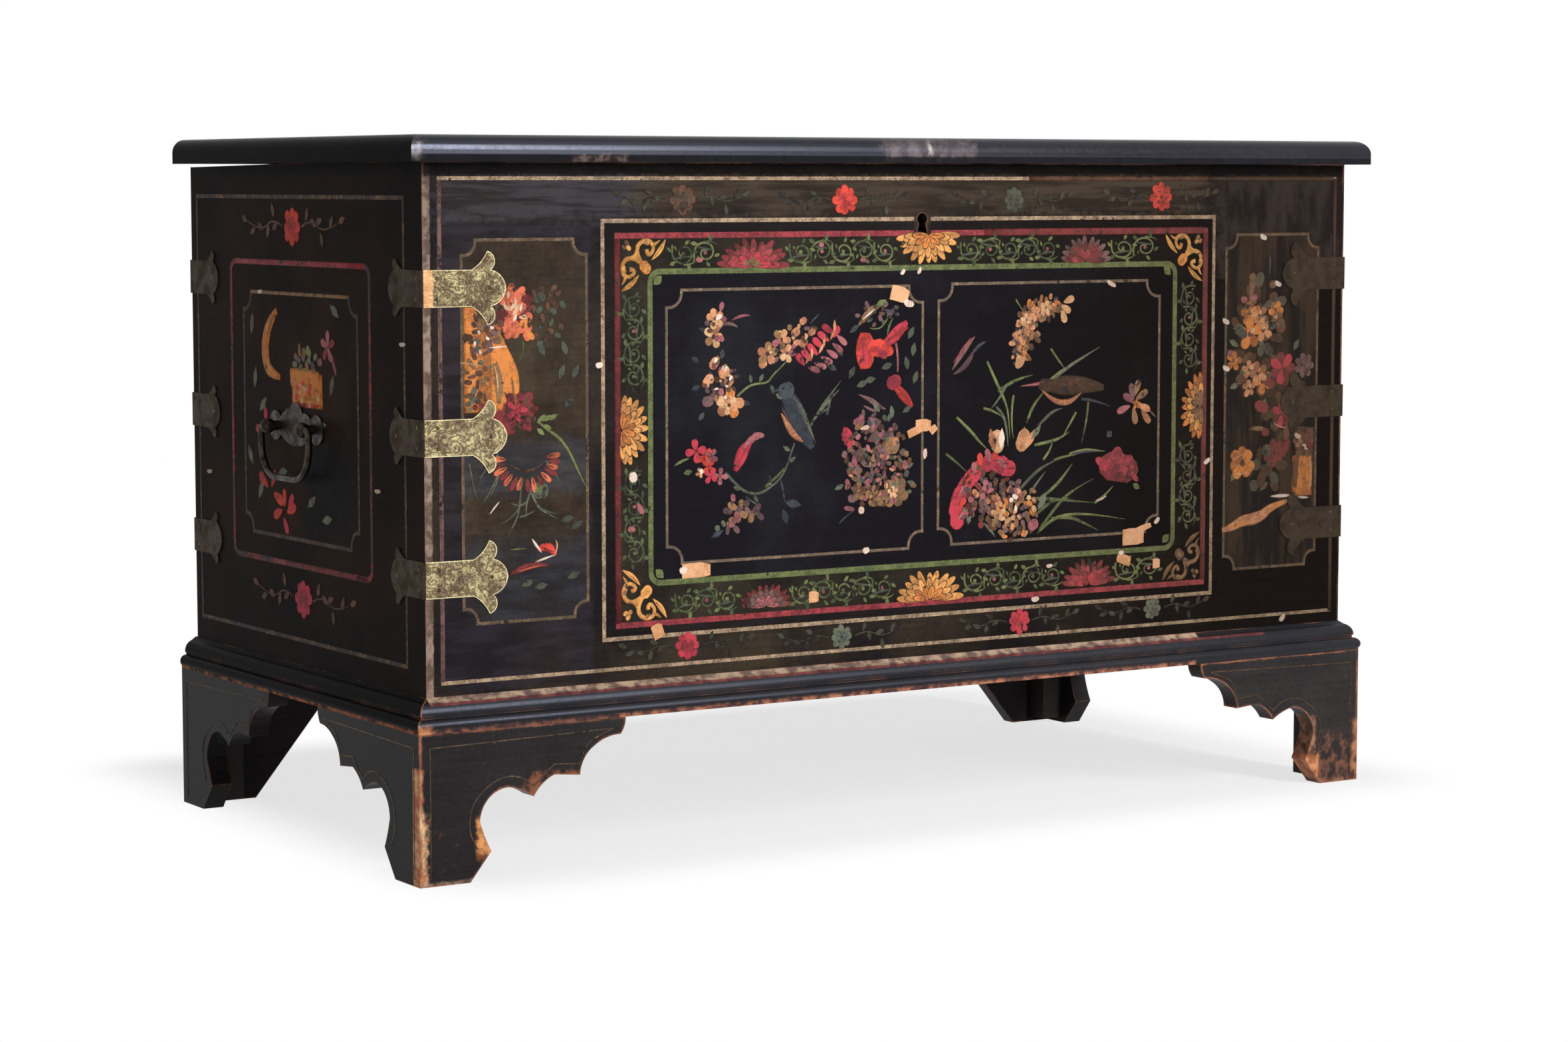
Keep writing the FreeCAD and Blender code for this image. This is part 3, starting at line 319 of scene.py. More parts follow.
def metal(name, look):
    # Sheet or cast metal gone dull: brown tarnish in the low places, brighter where hands rub it.
    material, add, shader, place = newMaterial(name)
    tarnish = add("MapRange", smooth, speckle(add, place, look["patch"], 6.0), 0.38, 0.66)
    colour = add("Mix", overlay, tarnish, look["bright"], look["tarnished"])
    height = speckle(add, place, look["patch"] * 0.4, 4.0)
    metallic = 1.0
    if "engraved" in look:
        # chased scrolls about 3 mm across: cream lines left between brown hollows
        swirl = add("TexNoise", None, place, 1 / look["engraved"], 2.0, None, None, 1.6)
        cut = add("Math", unsigned, add("Math", minus, swirl, 0.5))
        cut = add("MapRange", smooth, cut, 0.1, 0.02)
        colour = add("Mix", overlay, add("Math", times, cut, 0.8), colour, look["ink"])
        fine = add("MapRange", smooth, speckle(add, place, look["engraved"] * 0.25, 2.0), 0.52, 0.62)
        colour = add("Mix", overlay, add("Math", times, fine, 0.5), colour, look["ink"])
        # the rim of the sheet is rubbed bright
        bend = add("VectorMath", {"operation": "DOT_PRODUCT"}, add("Bevel", {"samples": 8}, 2.2 * mm),
                   add("NewGeometry", None).outputs["Normal"])
        colour = add("Mix", overlay, add("MapRange", smooth, bend, 0.97, 0.88), colour, look["rim"])
        height = add("Math", minus, height, cut)
        # on the ends and on the right half of the front the straps are painted in shade: dark tarnish tones
        # and no metal
        across = add("SeparateXYZ", None, place).outputs[0]
        onRight = add("Math", above, across, look["shadeFrom"][1])
        shaded = add("Math", largest, onRight, add("Math", below, across, look["shadeFrom"][0]))
        colour = add("Mix", overlay, shaded, colour, add("Mix", overlay, tarnish, *look["shade"]))
        shader.inputs["Specular IOR Level"].default_value = 0.08
        # painted highlight: the top strap is painted pale where it turns the corner, a glint standing in for
        # the light
        cornerGlint = add("Math", times, within(add, place, 0, leftX - 0.02, leftX + 0.009, 0.004),
                     within(add, place, 2, 0.44, 0.6, 0.0))
        cornerGlint = add("Math", times, cornerGlint, add("Math", minus, 0.8, shaded))
        colour = add("Mix", overlay, cornerGlint, colour, look["corner"])
        # the highest straps are darker, and the straps on the right get more painted shade
        high = add("MapRange", smooth, add("SeparateXYZ", None, place).outputs[2], 0.42, 0.45)
        highDarkAndRightShade = add("Math", largest, add("Math", times, high, 0.18), add("Math", times, onRight, 0.45))
        colour = add("Mix", overlay, highDarkAndRightShade, colour, "#17110c")
        metallic = add("Math", minus, 1.0, shaded)
    fill(shader, {"Base Color": colour, "Metallic": metallic,
                  "Roughness": add("Math", timesPlus, tarnish, 0.2, look["roughness"]),
                  "Normal": add("Bump", None, 0.5, 0.3 * mm, None, height)})
    return material


metalLooks = {
    "engravedSheetBrass": {"bright": "#a0956f", "tarnished": "#72604e", "ink": "#473a2d", "rim": "#cdc29a",
                           # corner is the pale colour of the painted highlight where the top strap turns the
                           # corner
                           "patch": 0.014, "corner": "#d2a273", "engraved": 0.0085, "roughness": 0.5,
                           "shade": ("#453728", "#2f241a"), "shadeFrom": (leftX + hair, 0.0)},
    "castBrassPins": {"bright": "#52452f", "tarnished": "#2c241a", "patch": 0.004, "roughness": 0.4},
    "tarnishedHingeBrass": {"bright": "#a58a55", "tarnished": "#5a472b", "patch": 0.02, "roughness": 0.4},
    "dullScrewSteel": {"bright": "#8d8a86", "tarnished": "#5b5046", "patch": 0.004, "roughness": 0.45},
    "forgedLockIron": {"bright": "#4c4843", "tarnished": "#2b2420", "patch": 0.012, "roughness": 0.5},
    "wornHandleBronze": {"bright": "#3a332d", "tarnished": "#1d1917", "patch": 0.008, "roughness": 0.4},
}
for name, look in metalLooks.items():
    materials[name] = metal(name, look)

# the first word that a node's name holds gives its finish
finishes = {
    "front_board": "blackLacquerFront", "left_end_board": "blackLacquerLeftEnd",
    "right_end_board": "blackLacquerRightEnd", "back_board": "blackLacquerBack",
    "lid_board": "blackLacquerLid", "bottom_board": "agedPine", "rear_plinth_rail": "blackLacquerBack",
    "lid_front_moulding": "blackLacquerLidFront", "front_plinth_moulding": "blackLacquerPlinth",
    "front_left_foot_front_bracket": "blackLacquerLeftToe",
    "front_right_foot_front_bracket": "blackLacquerRightToe",
    "front_left_foot_side_bracket": "blackLacquerLeftToeSide", "plinth": "blackLacquerPlinthSides",
    "moulding": "blackLacquerLidSides", "side_bracket": "blackLacquerSideFeet",
    "bracket": "blackLacquerFeet", "glue_block": "shadowDarkBlockPine", "strap_pins": "castBrassPins",
    "strap": "engravedSheetBrass", "screws": "dullScrewSteel", "lock_": "forgedLockIron",
    "hinge": "tarnishedHingeBrass", "": "wornHandleBronze",
}
for nodeName, node in nodes.items():
    finish = next(finish for word, finish in finishes.items() if word in nodeName)
    node.data.materials.clear()
    node.data.materials.append(materials[finish])

print("chest: every packed node has its finish")

studio = {
    "floorSize": 24.0, "floorColour": "#f6f5f6", "footprint": (0.47, 0.33, 0.0),
    "footprintShift": (0.04, 0.1, 0.0), "shadowReach": 0.13, "shadowKept": 0.27, "worldStrength": 0.12,
    "lamps": {   # place, aim, size and watts
        "keySoftbox": ((-2.2, -0.9, 1.0), (-0.5, -0.1, 0.4), (0.8, 0.8), 5.0),
        "stripSoftbox": ((0.98, -3.0, 1.6), (-0.3, -0.25, 0.6), (0.3, 1.75), 82.0),
        "frontSoftbox": ((1.42, -2.85, 1.6), (-0.3, -0.25, 0.6), (0.7, 1.75), 18.0),
        "overheadSoftbox": ((0.86, -1.5, 2.5), (-0.3, -0.25, 0.6), (0.7, 1.0), 3.0)},
    "cameraPlace": (-1.8365, -2.90068, 0.5872), "cameraTurn": (84.59, 0.0, -32.40), "lens": 82.195,
}
for name, (place, aim, size, power) in studio["lamps"].items():
    lamp = bpy.data.lights.new(name, "AREA")
    lamp.shape = "RECTANGLE"
    lamp.size, lamp.size_y = size
    lamp.energy = power
    box = bpy.data.objects.new(name, lamp)
    bpy.context.scene.collection.objects.link(box)
    box.location = place
    box.rotation_euler = (Vector(aim) - Vector(place)).to_track_quat("-Z", "Y").to_euler()


def seenDirectly(add):
    # 1 for the camera, and for what is mirrored or seen through glass
    path = add("LightPath", None).outputs
    return add("Math", largest, path["Is Camera Ray"],
               add("Math", largest, path["Is Glossy Ray"], path["Is Transmission Ray"]))


world = bpy.data.worlds.new("whiteStudio")
bpy.context.scene.world = world
world.use_nodes = True
addToWorld = partial(addNode, world.node_tree)
fill(world.node_tree.nodes["Background"], {
    "Color": "#ffffff", "Strength": addToWorld("Math", largest, seenDirectly(addToWorld),
                                               studio["worldStrength"])})

deselectAll()
bpy.ops.mesh.primitive_circle_add(vertices=64, radius=studio["floorSize"] / 2, fill_type="NGON")
floor = bpy.context.object
floor.name = "floor"
floorMaterial, addToFloor, floorShader, outside = newMaterial("paintedStudioFloor")
floorMaterial.node_tree.nodes.remove(floorShader)
# the floor is white but for the shadow under the chest and just round it
for operation, *value in (("SUBTRACT", studio["footprintShift"]), ("ABSOLUTE",),
                          ("SUBTRACT", studio["footprint"]), ("MAXIMUM", (0, 0, 0))):
    outside = addToFloor("VectorMath", {"operation": operation}, outside, *value)
glowShare = addToFloor("MapRange", smooth, addToFloor("VectorMath", {"operation": "LENGTH"}, outside),
                       0.0, studio["shadowReach"], 1 - studio["shadowKept"], 1.0)
floorMix = addToFloor("MixShader", None, addToFloor("Math", times, seenDirectly(addToFloor), glowShare),
                      addToFloor("BsdfDiffuse", None, studio["floorColour"]),
                      addToFloor("Emission", None, "#ffffff", 1.0))
fill(floorMaterial.node_tree.nodes["Material Output"], {"Surface": floorMix})
floor.data.materials.append(floorMaterial)

cameraData = bpy.data.cameras.new("photoCamera")
cameraData.lens = studio["lens"]
cameraData.sensor_width = 36.0
camera = bpy.data.objects.new("photoCamera", cameraData)
bpy.context.scene.collection.objects.link(camera)
camera.location = studio["cameraPlace"]
camera.rotation_euler = [math.radians(a) for a in studio["cameraTurn"]]
bpy.context.scene.camera = camera
bpy.context.scene.view_settings.view_transform = "Standard"

print("chest: studio, floor and camera are set")

# The painted decoration is in millimetres on each wall: x to the right, z up, seen from outside.
# A layer is how proud the paint stands; every coat is a closed film a few tenths of a millimetre thick.
walls = {
    "front": Matrix(((mm, 0, 0, 0), (0, 0, -mm, frontY), (0, mm, 0, 0), (0, 0, 0, 1))),
    "left": Matrix(((0, 0, -mm, leftX), (-mm, 0, 0, bailY), (0, mm, 0, 0), (0, 0, 0, 1))),
    "right": Matrix(((0, 0, mm, rightX), (mm, 0, 0, bailY), (0, mm, 0, 0), (0, 0, 0, 1))),
    "feetFront": Matrix(((mm, 0, 0, 0), (0, 0, -mm, footCorner.y), (0, mm, 0, 0), (0, 0, 0, 1))),
    "feetLeft": Matrix(((0, 0, -mm, footCorner.x), (-mm, 0, 0, 0), (0, mm, 0, 0), (0, 0, 0, 1))),
    "feetRight": Matrix(((0, 0, mm, -footCorner.x), (mm, 0, 0, 0), (0, mm, 0, 0), (0, 0, 0, 1))),
}
paintFilm = {"first": 0.1, "step": 0.05, "grounds": 6}
brushes = {"line": (1, 1), "stem": (1, 0.8, 0.55), "blade": (0.7, 1, 0.7, 0.12),
           "leaf": (0.15, 0.8, 1, 0.75, 0.12), "curl": (1, 0.9, 0.75, 0.9), "body": (0.35, 0.8, 1, 0.8, 0.3),
           "comma": (1, 0.8, 0.15)}
keyhole = (-7.5, 10.5, 531, 562)   # left, right, low and high edge of the gap in the film


def rise(layer):
    return paintFilm["first"] + paintFilm["step"] * layer


def oilPaint(name, fresh, worn, wear):
    # Oil colour in varnish over the black: thin enough to show the brush, dulled by old varnish,
    # rubbed through to the lacquer in small islands; each mark has its own tone. Towards the right every
    # mark is darkened to brown as painted shade, where less lamp light falls.
    material, add, shader, place = newMaterial(name)
    brush = speckle(add, place, 0.0022)
    own = add("Math", timesPlus, add("NewGeometry", None).outputs["Random Per Island"], 0.4, -0.2)
    tone = add("Math", plus, add("Math", plus, brush, speckle(add, place, 0.009)), own)
    colour = add("Mix", overlay, add("MapRange", smooth, tone, 0.74, 1.26), fresh, worn)
    # painted shade: the marks turn darker and browner towards the right
    shadedTowardsRight = add("MapRange", smooth, add("SeparateXYZ", None, place).outputs[0], -0.1, 0.5)
    colour = add("Mix", overlay, add("Math", times, shadedTowardsRight, 0.6), colour, "#3b291d")
    rubbed = add("Math", plus, speckle(add, place, 0.0045, 5.0), speckle(add, place, 0.03, 2.0))
    gone = add("MapRange", smooth, rubbed, 1.3 - 0.45 * wear, 1.42 - 0.45 * wear)
    fill(shader, {"Base Color": add("Mix", overlay, gone, colour, "#2b2524"), "Roughness": 0.5,
                  "Specular IOR Level": 0.06, "Normal": add("Bump", None, 0.3, 0.3 * mm, None, brush)})
    return material


paints = {colour: oilPaint(*row) for colour, row in {
    "frameGold": ("paleGoldLine", "#bea284", "#705f4f", 0.2),
    "sideGold": ("oldGoldLine", "#917759", "#55483b", 0.4),
    "footGold": ("faintGoldLine", "#856f54", "#493f36", 0.4),
    "soot": ("sootBrown", "#453328", "#2b231c", 0.4),
    "panelGold": ("dullGoldLine", "#a1896d", "#625448", 0.25),
    "endGold": ("endGoldLine", "#8b6b4b", "#3f3228", 0.8),
    "endRed": ("endRedLine", "#a03a3f", "#482325", 0.75),
    "vermilionLine": ("vermilionLine", "#a8454a", "#6a2c32", 0.2),
    "oliveLine": ("oliveLine", "#737c4c", "#4c5538", 0.2),
    "lotusGold": ("lotusGold", "#f0aa62", "#ab7746", 0.25),
    "scrollGold": ("scrollGold", "#e4a75c", "#a2713e", 0.35),
    "lotusRed": ("lotusRed", "#b0474e", "#6c2d33", 0.3),
    "vermilion": ("vermilion", "#de4e40", "#92332e", 0.3),
    "crimson": ("crimsonLake", "#c6424f", "#7a2e38", 0.3),
    "coral": ("coralRed", "#e17757", "#984d38", 0.3),
    "rose": ("rosePink", "#ae686b", "#76464b", 0.4),
    "mauve": ("mauveBrown", "#7d5d5b", "#4d3c3d", 0.4),
    "peach": ("peachFlesh", "#dd9b6f", "#905f47", 0.3),
    "apricot": ("paleApricot", "#dfb38a", "#b6855c", 0.2),
    "orange": ("burntOrange", "#e18b48", "#945b34", 0.35),
    "tan": ("tanOchre", "#997250", "#604b39", 0.4),
    "leafGreen": ("oliveLeafGreen", "#7d8654", "#4e5638", 0.35),
    "greyGreen": ("greyLeafGreen", "#6e735d", "#4b4f44", 0.4),
    "dimGreen": ("dimOliveGreen", "#47473a", "#312e27", 0.6),
    "duskGreen": ("duskGreen", "#5c6545", "#373d2e", 0.45),
    "vineGreen": ("vineGreen", "#73794d", "#3d4833", 0.35),
    "shadowGreen": ("shadowGreen", "#525748", "#3f413a", 0.5),
    "slate": ("slateGrey", "#484c53", "#303339", 0.45),
    "umber": ("rawUmber", "#6a4a3a", "#443126", 0.4),
    "deepRed": ("deepRed", "#84383a", "#562929", 0.4),
    "ink": ("lampBlack", "#241f1b", "#1a1613", 0.0),
    "cream": ("palePinkChip", "#efdccc", "#c9a892", 0.0),
    "gesso": ("peachChip", "#eab286", "#c98d61", 0.0),
}.items()}


def chosen(*pieces):
    # selects the pieces alone, the first one active
    deselectAll()
    for piece in pieces:
        piece.select_set(True)
    bpy.context.view_layer.objects.active = pieces[0]


def copied(piece):
    twin = piece.copy()
    twin.data = piece.data.copy()
    bpy.context.scene.collection.objects.link(twin)
    return twin


def editAll(kind="VERT"):
    # into edit mode with all points or faces selected
    bpy.ops.object.mode_set(mode="EDIT")
    bpy.ops.mesh.select_mode(type=kind)
    bpy.ops.mesh.select_all(action="SELECT")


def finishPiece(piece, name, wall, material):
    chosen(piece)
    editAll()
    bpy.ops.mesh.normals_make_consistent(inside=False)
    bpy.ops.object.mode_set(mode="OBJECT")
    piece.name = piece.data.name = name
    piece.data.transform(walls[wall])
    piece.data.materials.clear()
    piece.data.materials.append(material)
    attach(piece, "case")


def selectPoints(piece, wanted):
    # leaves the piece in edit mode with only the wanted points selected
    editAll()
    bpy.ops.mesh.select_all(action="DESELECT")
    bpy.ops.object.mode_set(mode="OBJECT")
    for point in piece.data.vertices:
        point.select = wanted(point.co)
    bpy.ops.object.mode_set(mode="EDIT")


def panel(name, wall, material, edges, layer, corner=0.0, notched=False, line=0.0):
    # a flat panel, or only the line round it when a line width is given
    x0, x1, z0, z1 = edges
    deselectAll()
    bpy.ops.mesh.primitive_plane_add(size=1, location=((x0 + x1) / 2, (z0 + z1) / 2, -rise(layer)))
    bpy.ops.object.mode_set(mode="EDIT")
    bpy.ops.transform.resize(value=(x1 - x0, z1 - z0, 1))
    bpy.ops.object.mode_set(mode="OBJECT")
    bpy.ops.object.transform_apply(location=True)
    piece = bpy.context.object
    editAll()
    if corner and notched:
        bpy.ops.mesh.bevel(offset=corner, segments=2, profile=0.0, affect="VERTICES")
        slack = 0.01   # mm, to pick the inner points alone
        selectPoints(piece, lambda p: x0 + slack < p.x < x1 - slack and z0 + slack < p.y < z1 - slack)
        bpy.ops.mesh.bevel(offset=corner * 0.75, segments=5, profile=0.5, affect="VERTICES")
    elif corner:
        bpy.ops.mesh.bevel(offset=corner, segments=6, profile=0.5, affect="VERTICES")
    bpy.ops.mesh.select_mode(type="FACE")
    bpy.ops.mesh.select_all(action="SELECT")
    if line:
        bpy.ops.mesh.inset(thickness=line)
        bpy.ops.mesh.delete(type="FACE")
        bpy.ops.mesh.select_all(action="SELECT")
    if wall == "front" and z1 > keyhole[2]:
        # the film stops round the keyhole
        for side, level in enumerate(keyhole):
            axis = (1, 0, 0) if side < 2 else (0, 1, 0)
            bpy.ops.mesh.select_all(action="SELECT")
            bpy.ops.mesh.bisect(plane_co=tuple(level * a for a in axis), plane_no=axis)
        bpy.ops.object.mode_set(mode="OBJECT")
        for face in piece.data.polygons:
            middle = face.center
            face.select = keyhole[0] < middle.x < keyhole[1] and keyhole[2] < middle.y < keyhole[3]
        bpy.ops.object.mode_set(mode="EDIT")
        bpy.ops.mesh.delete(type="FACE")
        bpy.ops.mesh.select_all(action="SELECT")
    bpy.ops.mesh.extrude_region_move(TRANSFORM_OT_translate={"value": (0, 0, 2 * rise(layer))})
    bpy.ops.object.mode_set(mode="OBJECT")
    finishPiece(piece, name, wall, material)


def stampShape(name, points, widths, turn=0.0, pivot=0.0, tip=(0.9, 0.86)):
    # one brush mark, unit long from its foot at the origin: a disc whose points are drawn in or out,
    # each row of widths giving a place along it, the share and the reach round the place, then thickened
    deselectAll()
    bpy.ops.mesh.primitive_circle_add(vertices=points, radius=0.5, fill_type="NGON", location=(0.5, 0, -1),
                                      rotation=(0, 0, turn))
    bpy.ops.object.transform_apply()
    shape = bpy.context.object
    for x, share, reach in widths(shape):
        selectPoints(shape, lambda p: abs(p.x - x) < reach)
        bpy.ops.transform.resize(value=(1, share, 1), center_override=(x, pivot, -1))
        bpy.ops.object.mode_set(mode="OBJECT")
    editAll("FACE")
    bpy.ops.mesh.extrude_region_move(TRANSFORM_OT_translate={"value": (0, 0, 2)})
    if tip:
        bpy.ops.transform.resize(value=(*tip, 1))
    bpy.ops.object.mode_set(mode="OBJECT")
    shape.name = name
    return shape


def pairs(widthAt):
    # every pair of points across the disc with its width
    return lambda disc: [(x, widthAt(x), 0.001) for x in sorted({round(p.co.x,
                                                                       4) for p in disc.data.vertices})]


stamps = {
    # a lost flake of paint is a rough oblong with cut corners
    "flake": stampShape("flakeStamp", 8, lambda disc: ((0, 2.3, 0.1), (1, 1.8, 0.1)),
                        math.pi / 8, 0.03, None),
    "petal": stampShape("petalStamp", 14, pairs(lambda x: 0.45 + 0.6 * x)),
    "leaf": stampShape("leafStamp", 14, pairs(
        lambda x: 0.25 + 0.9 * math.sin(math.pi * min(max(x, 0.02), 0.98)))),
    "disc": stampShape("discStamp", 12, pairs(lambda x: 1.0 + 0.08 * math.sin(9 * x))),
    "chip": stampShape("chipStamp", 9, pairs(lambda x: 0.85 + 0.25 * math.sin(23 * x))),
}
handWobble = random.Random(11)
shareOfLayer = cycle(k / 16 for k in range(16))
marks = {}   # colour: the strokes and stamps of the area that is being painted


def stroke(colour, brush, width, *points, layer=1):
    # marks of one layer lie at slightly different heights, so that no two share a face
    proud = paintFilm["grounds"] + layer + next(shareOfLayer)
    marks.setdefault(colour, []).append((proud, brush, width, points))


def stamp(colour, shape, x, z, length, width, turn=0.0, layer=2):
    # petals and leaves grow from x, z; discs and chips lie round it; of several colours one is drawn
    if not isinstance(colour, str):
        colour = handWobble.choice(colour)
    middle = shape in ("disc", "chip", "flake")
    proud = paintFilm["grounds"] + layer + handWobble.uniform(0.02, 0.98)
    marks.setdefault(colour, []).append((proud, shape, x, z, length, width, turn, middle))


def strokeMesh(rows, layer):
    curve = bpy.data.curves.new("strokes", "CURVE")
    curve.dimensions = "3D"
    curve.twist_mode = "Z_UP"
    curve.bevel_depth = 1.0
    curve.bevel_resolution = 1
    curve.use_fill_caps = True
    curve.resolution_u = 4
    for brush, width, points in rows:
        spline = curve.splines.new("NURBS")
        spline.points.add(len(points) - 1)
        profile = brushes[brush]
        for k, (x, z) in enumerate(points):
            at = k / (len(points) - 1) * (len(profile) - 1)
            low = min(int(at), len(profile) - 2)
            share = profile[low] + (profile[low + 1] - profile[low]) * (at - low)
            spline.points[k].co = (x, z, 0, 1)
            spline.points[k].radius = width / 2 * share
        spline.order_u = 3
        spline.use_endpoint_u = True
    drawn = bpy.data.objects.new("strokes", curve)
    bpy.context.scene.collection.objects.link(drawn)
    chosen(drawn)
    bpy.ops.object.convert(target="MESH")
    for side in (1, -1):
        # the round stroke is pressed flat on both sides of the wall's face
        selectPoints(drawn, lambda p: p.z * side > 0.001)
        bpy.ops.transform.resize(value=(1, 1, 0), center_override=(0, 0, side * rise(layer)))
        bpy.ops.object.mode_set(mode="OBJECT")
    editAll()
    bpy.ops.mesh.remove_doubles(threshold=0.001)
    bpy.ops.object.mode_set(mode="OBJECT")
    return drawn


def paintArea(area, *onWalls):
    for colour, rows in marks.items():
        parts = []
        for layer in sorted({row[0] for row in rows if len(row) == 4}):
            parts.append(strokeMesh([row[1:] for row in rows if len(row) == 4 and row[0] == layer], layer))
        for layer, shape, x, z, length, width, turn, middle in [row for row in rows if len(row) == 8]:
            place = Matrix.Translation((x, z, 0)) @ Matrix.Rotation(math.radians(turn), 4, "Z")
            place = place @ Matrix.Diagonal((length, width, rise(layer), 1))
            if middle:
                place = place @ Matrix.Translation((-0.5, 0, 0))
            parts.append(copied(stamps[shape]))
            parts[-1].data.transform(place)
        chosen(*parts)
        if len(parts) > 1:
            bpy.ops.object.join()
        painted = bpy.context.object
        for wall in onWalls:
            piece = painted if wall == onWalls[-1] else copied(painted)
            name = area + colour[0].upper() + colour[1:]
            if wall != "front":
                name = wall + name[0].upper() + name[1:]
            finishPiece(piece, name, wall, paints[colour])
    print("chest:", area, "is painted with", len(marks), "colours")
    marks.clear()


def wobble(amount):
    return handWobble.uniform(-amount, amount)


def blossom(colour, x, z, radius, heart="umber", petals=5, turn=90.0, layer=2):
    for k in range(petals):
        length = radius * (1 + wobble(0.1))
        stamp(colour, "petal", x, z, length, radius * 0.92, turn + 360 * k / petals + wobble(8), layer)
    stamp(heart, "disc", x, z, radius * 0.45, radius * 0.4, turn, layer + 1)


def rosette(colour, edge, x, z, radius, layer=2):
    for k in range(8):
        stamp(colour, "petal", x, z, radius * (1 + wobble(0.06)), radius * 0.78, 45 * k + wobble(6), layer)
    stamp(edge, "disc", x, z, radius * 1.15, radius * 1.15, 0, layer + 1)
    for k in range(6):
        stamp(colour, "petal", x, z, radius * 0.55, radius * 0.42, 60 * k + 20, layer + 2)
    stamp(edge, "disc", x, z, radius * 0.3, radius * 0.3, 0, layer + 3)


def lotus(colours, edge, x, z, span, height, up, counts=(11, 9, 6), layer=2):
    # a fan of narrow petals in three rows; the tips lie on half an oval
    wide = 1.9 * math.sqrt(span * height) / counts[0] * 1.2
    for row, (count, reach) in enumerate(zip(counts, (1.0, 0.76, 0.5))):
        for k in range(count):
            angle = math.radians(6 + 168 * k / (count - 1))
            tipX, tipZ = span / 2 * reach * math.cos(angle), height * reach * math.sin(angle)
            length = math.hypot(tipX, tipZ) * (1 + wobble(0.07))
            turn = math.degrees(math.atan2(tipZ, tipX)) + up - 90 + wobble(3)
            if row:
                stamp(edge, "petal", x, z, length + 1.3, wide * (1 - 0.1 * row) + 1.6, turn,
                      layer + 2 * row - 1)
            stamp(colours[row], "petal", x, z, length, wide * (1 - 0.1 * row), turn, layer + 2 * row)
            stamp(edge, "leaf", x, z, length * 0.8, 0.9, turn, layer + 2 * row + 1)


# reach and degrees of each point of a scroll, from its heart, and of its outer leaves with their length
scrollTurns = ((0.62, 215), (0.56, 170), (0.5, 125), (0.47, 80), (0.44, 35), (0.38, -15), (0.32, -70),
               (0.27, -130), (0.22, -190), (0.17, -250), (0.11, -310))
scrollLeaves = ((0.5, 130, 8), (0.5, 60, 8), (0.42, -20, 7), (0.36, -85, 7), (0.3, 200, 5), (0.55, 185, 6))


def scrollVine(colour, bud, start, end, count, height, layer=1):
    # running scrolls: each curls back on itself, turn about on the two sides, with leaves outside
    sx, sz = start
    length = math.hypot(end[0] - sx, end[1] - sz)
    ax, az = (end[0] - sx) / length, (end[1] - sz) / length
    pitch = length / count
    for k in range(count):
        side = 1 if k % 2 else -1
        middle = (k + 0.5) * pitch

        def at(reach, degrees):
            along = middle + reach * pitch * math.cos(math.radians(degrees))
            across = side * reach * height * 1.7 * math.sin(math.radians(degrees))
            return (sx + along * ax - across * az, sz + along * az + across * ax)

        stroke(colour, "curl", 2.7, *[at(*turn) for turn in scrollTurns], layer=layer)
        stroke(colour, "comma", 2.6, at(0.48, 90), at(0.62, 60), at(0.66, 30), layer=layer)
        stroke("shadowGreen", "leaf", 5.0, at(0.5, 150), at(0.2, 120), at(0.4, 20), layer=layer)
        base = math.degrees(math.atan2(az, ax))
        for reach, degrees, size in scrollLeaves:
            out = degrees * side + base + 40 * side + wobble(15)
            stamp(colour, "leaf", *at(reach, degrees), size + wobble(1), size * 0.48, out, layer + 1)
        stamp(bud if k % 3 == 1 else colour, "disc", *at(0.0, 0), 4.2, 3.6, 0, layer + 2)


def cluster(colours, x, z, spanX, spanZ, count, size, layer=2, turn=0.0):
    # many small round petals heaped inside an oval
    for k in range(count):
        reach, degrees = math.sqrt((k + 0.5) / count), 137.5 * k + wobble(12)
        dx = spanX / 2 * reach * math.cos(math.radians(degrees))
        dz = spanZ / 2 * reach * math.sin(math.radians(degrees))
        c, s = math.cos(math.radians(turn)), math.sin(math.radians(turn))
        stamp(colours[k % len(colours)], "disc", x + dx * c - dz * s, z + dx * s + dz * c,
              size * (1.05 + wobble(0.3)), size * (0.75 + wobble(0.2)), 2.3 * degrees, layer + k % 3)


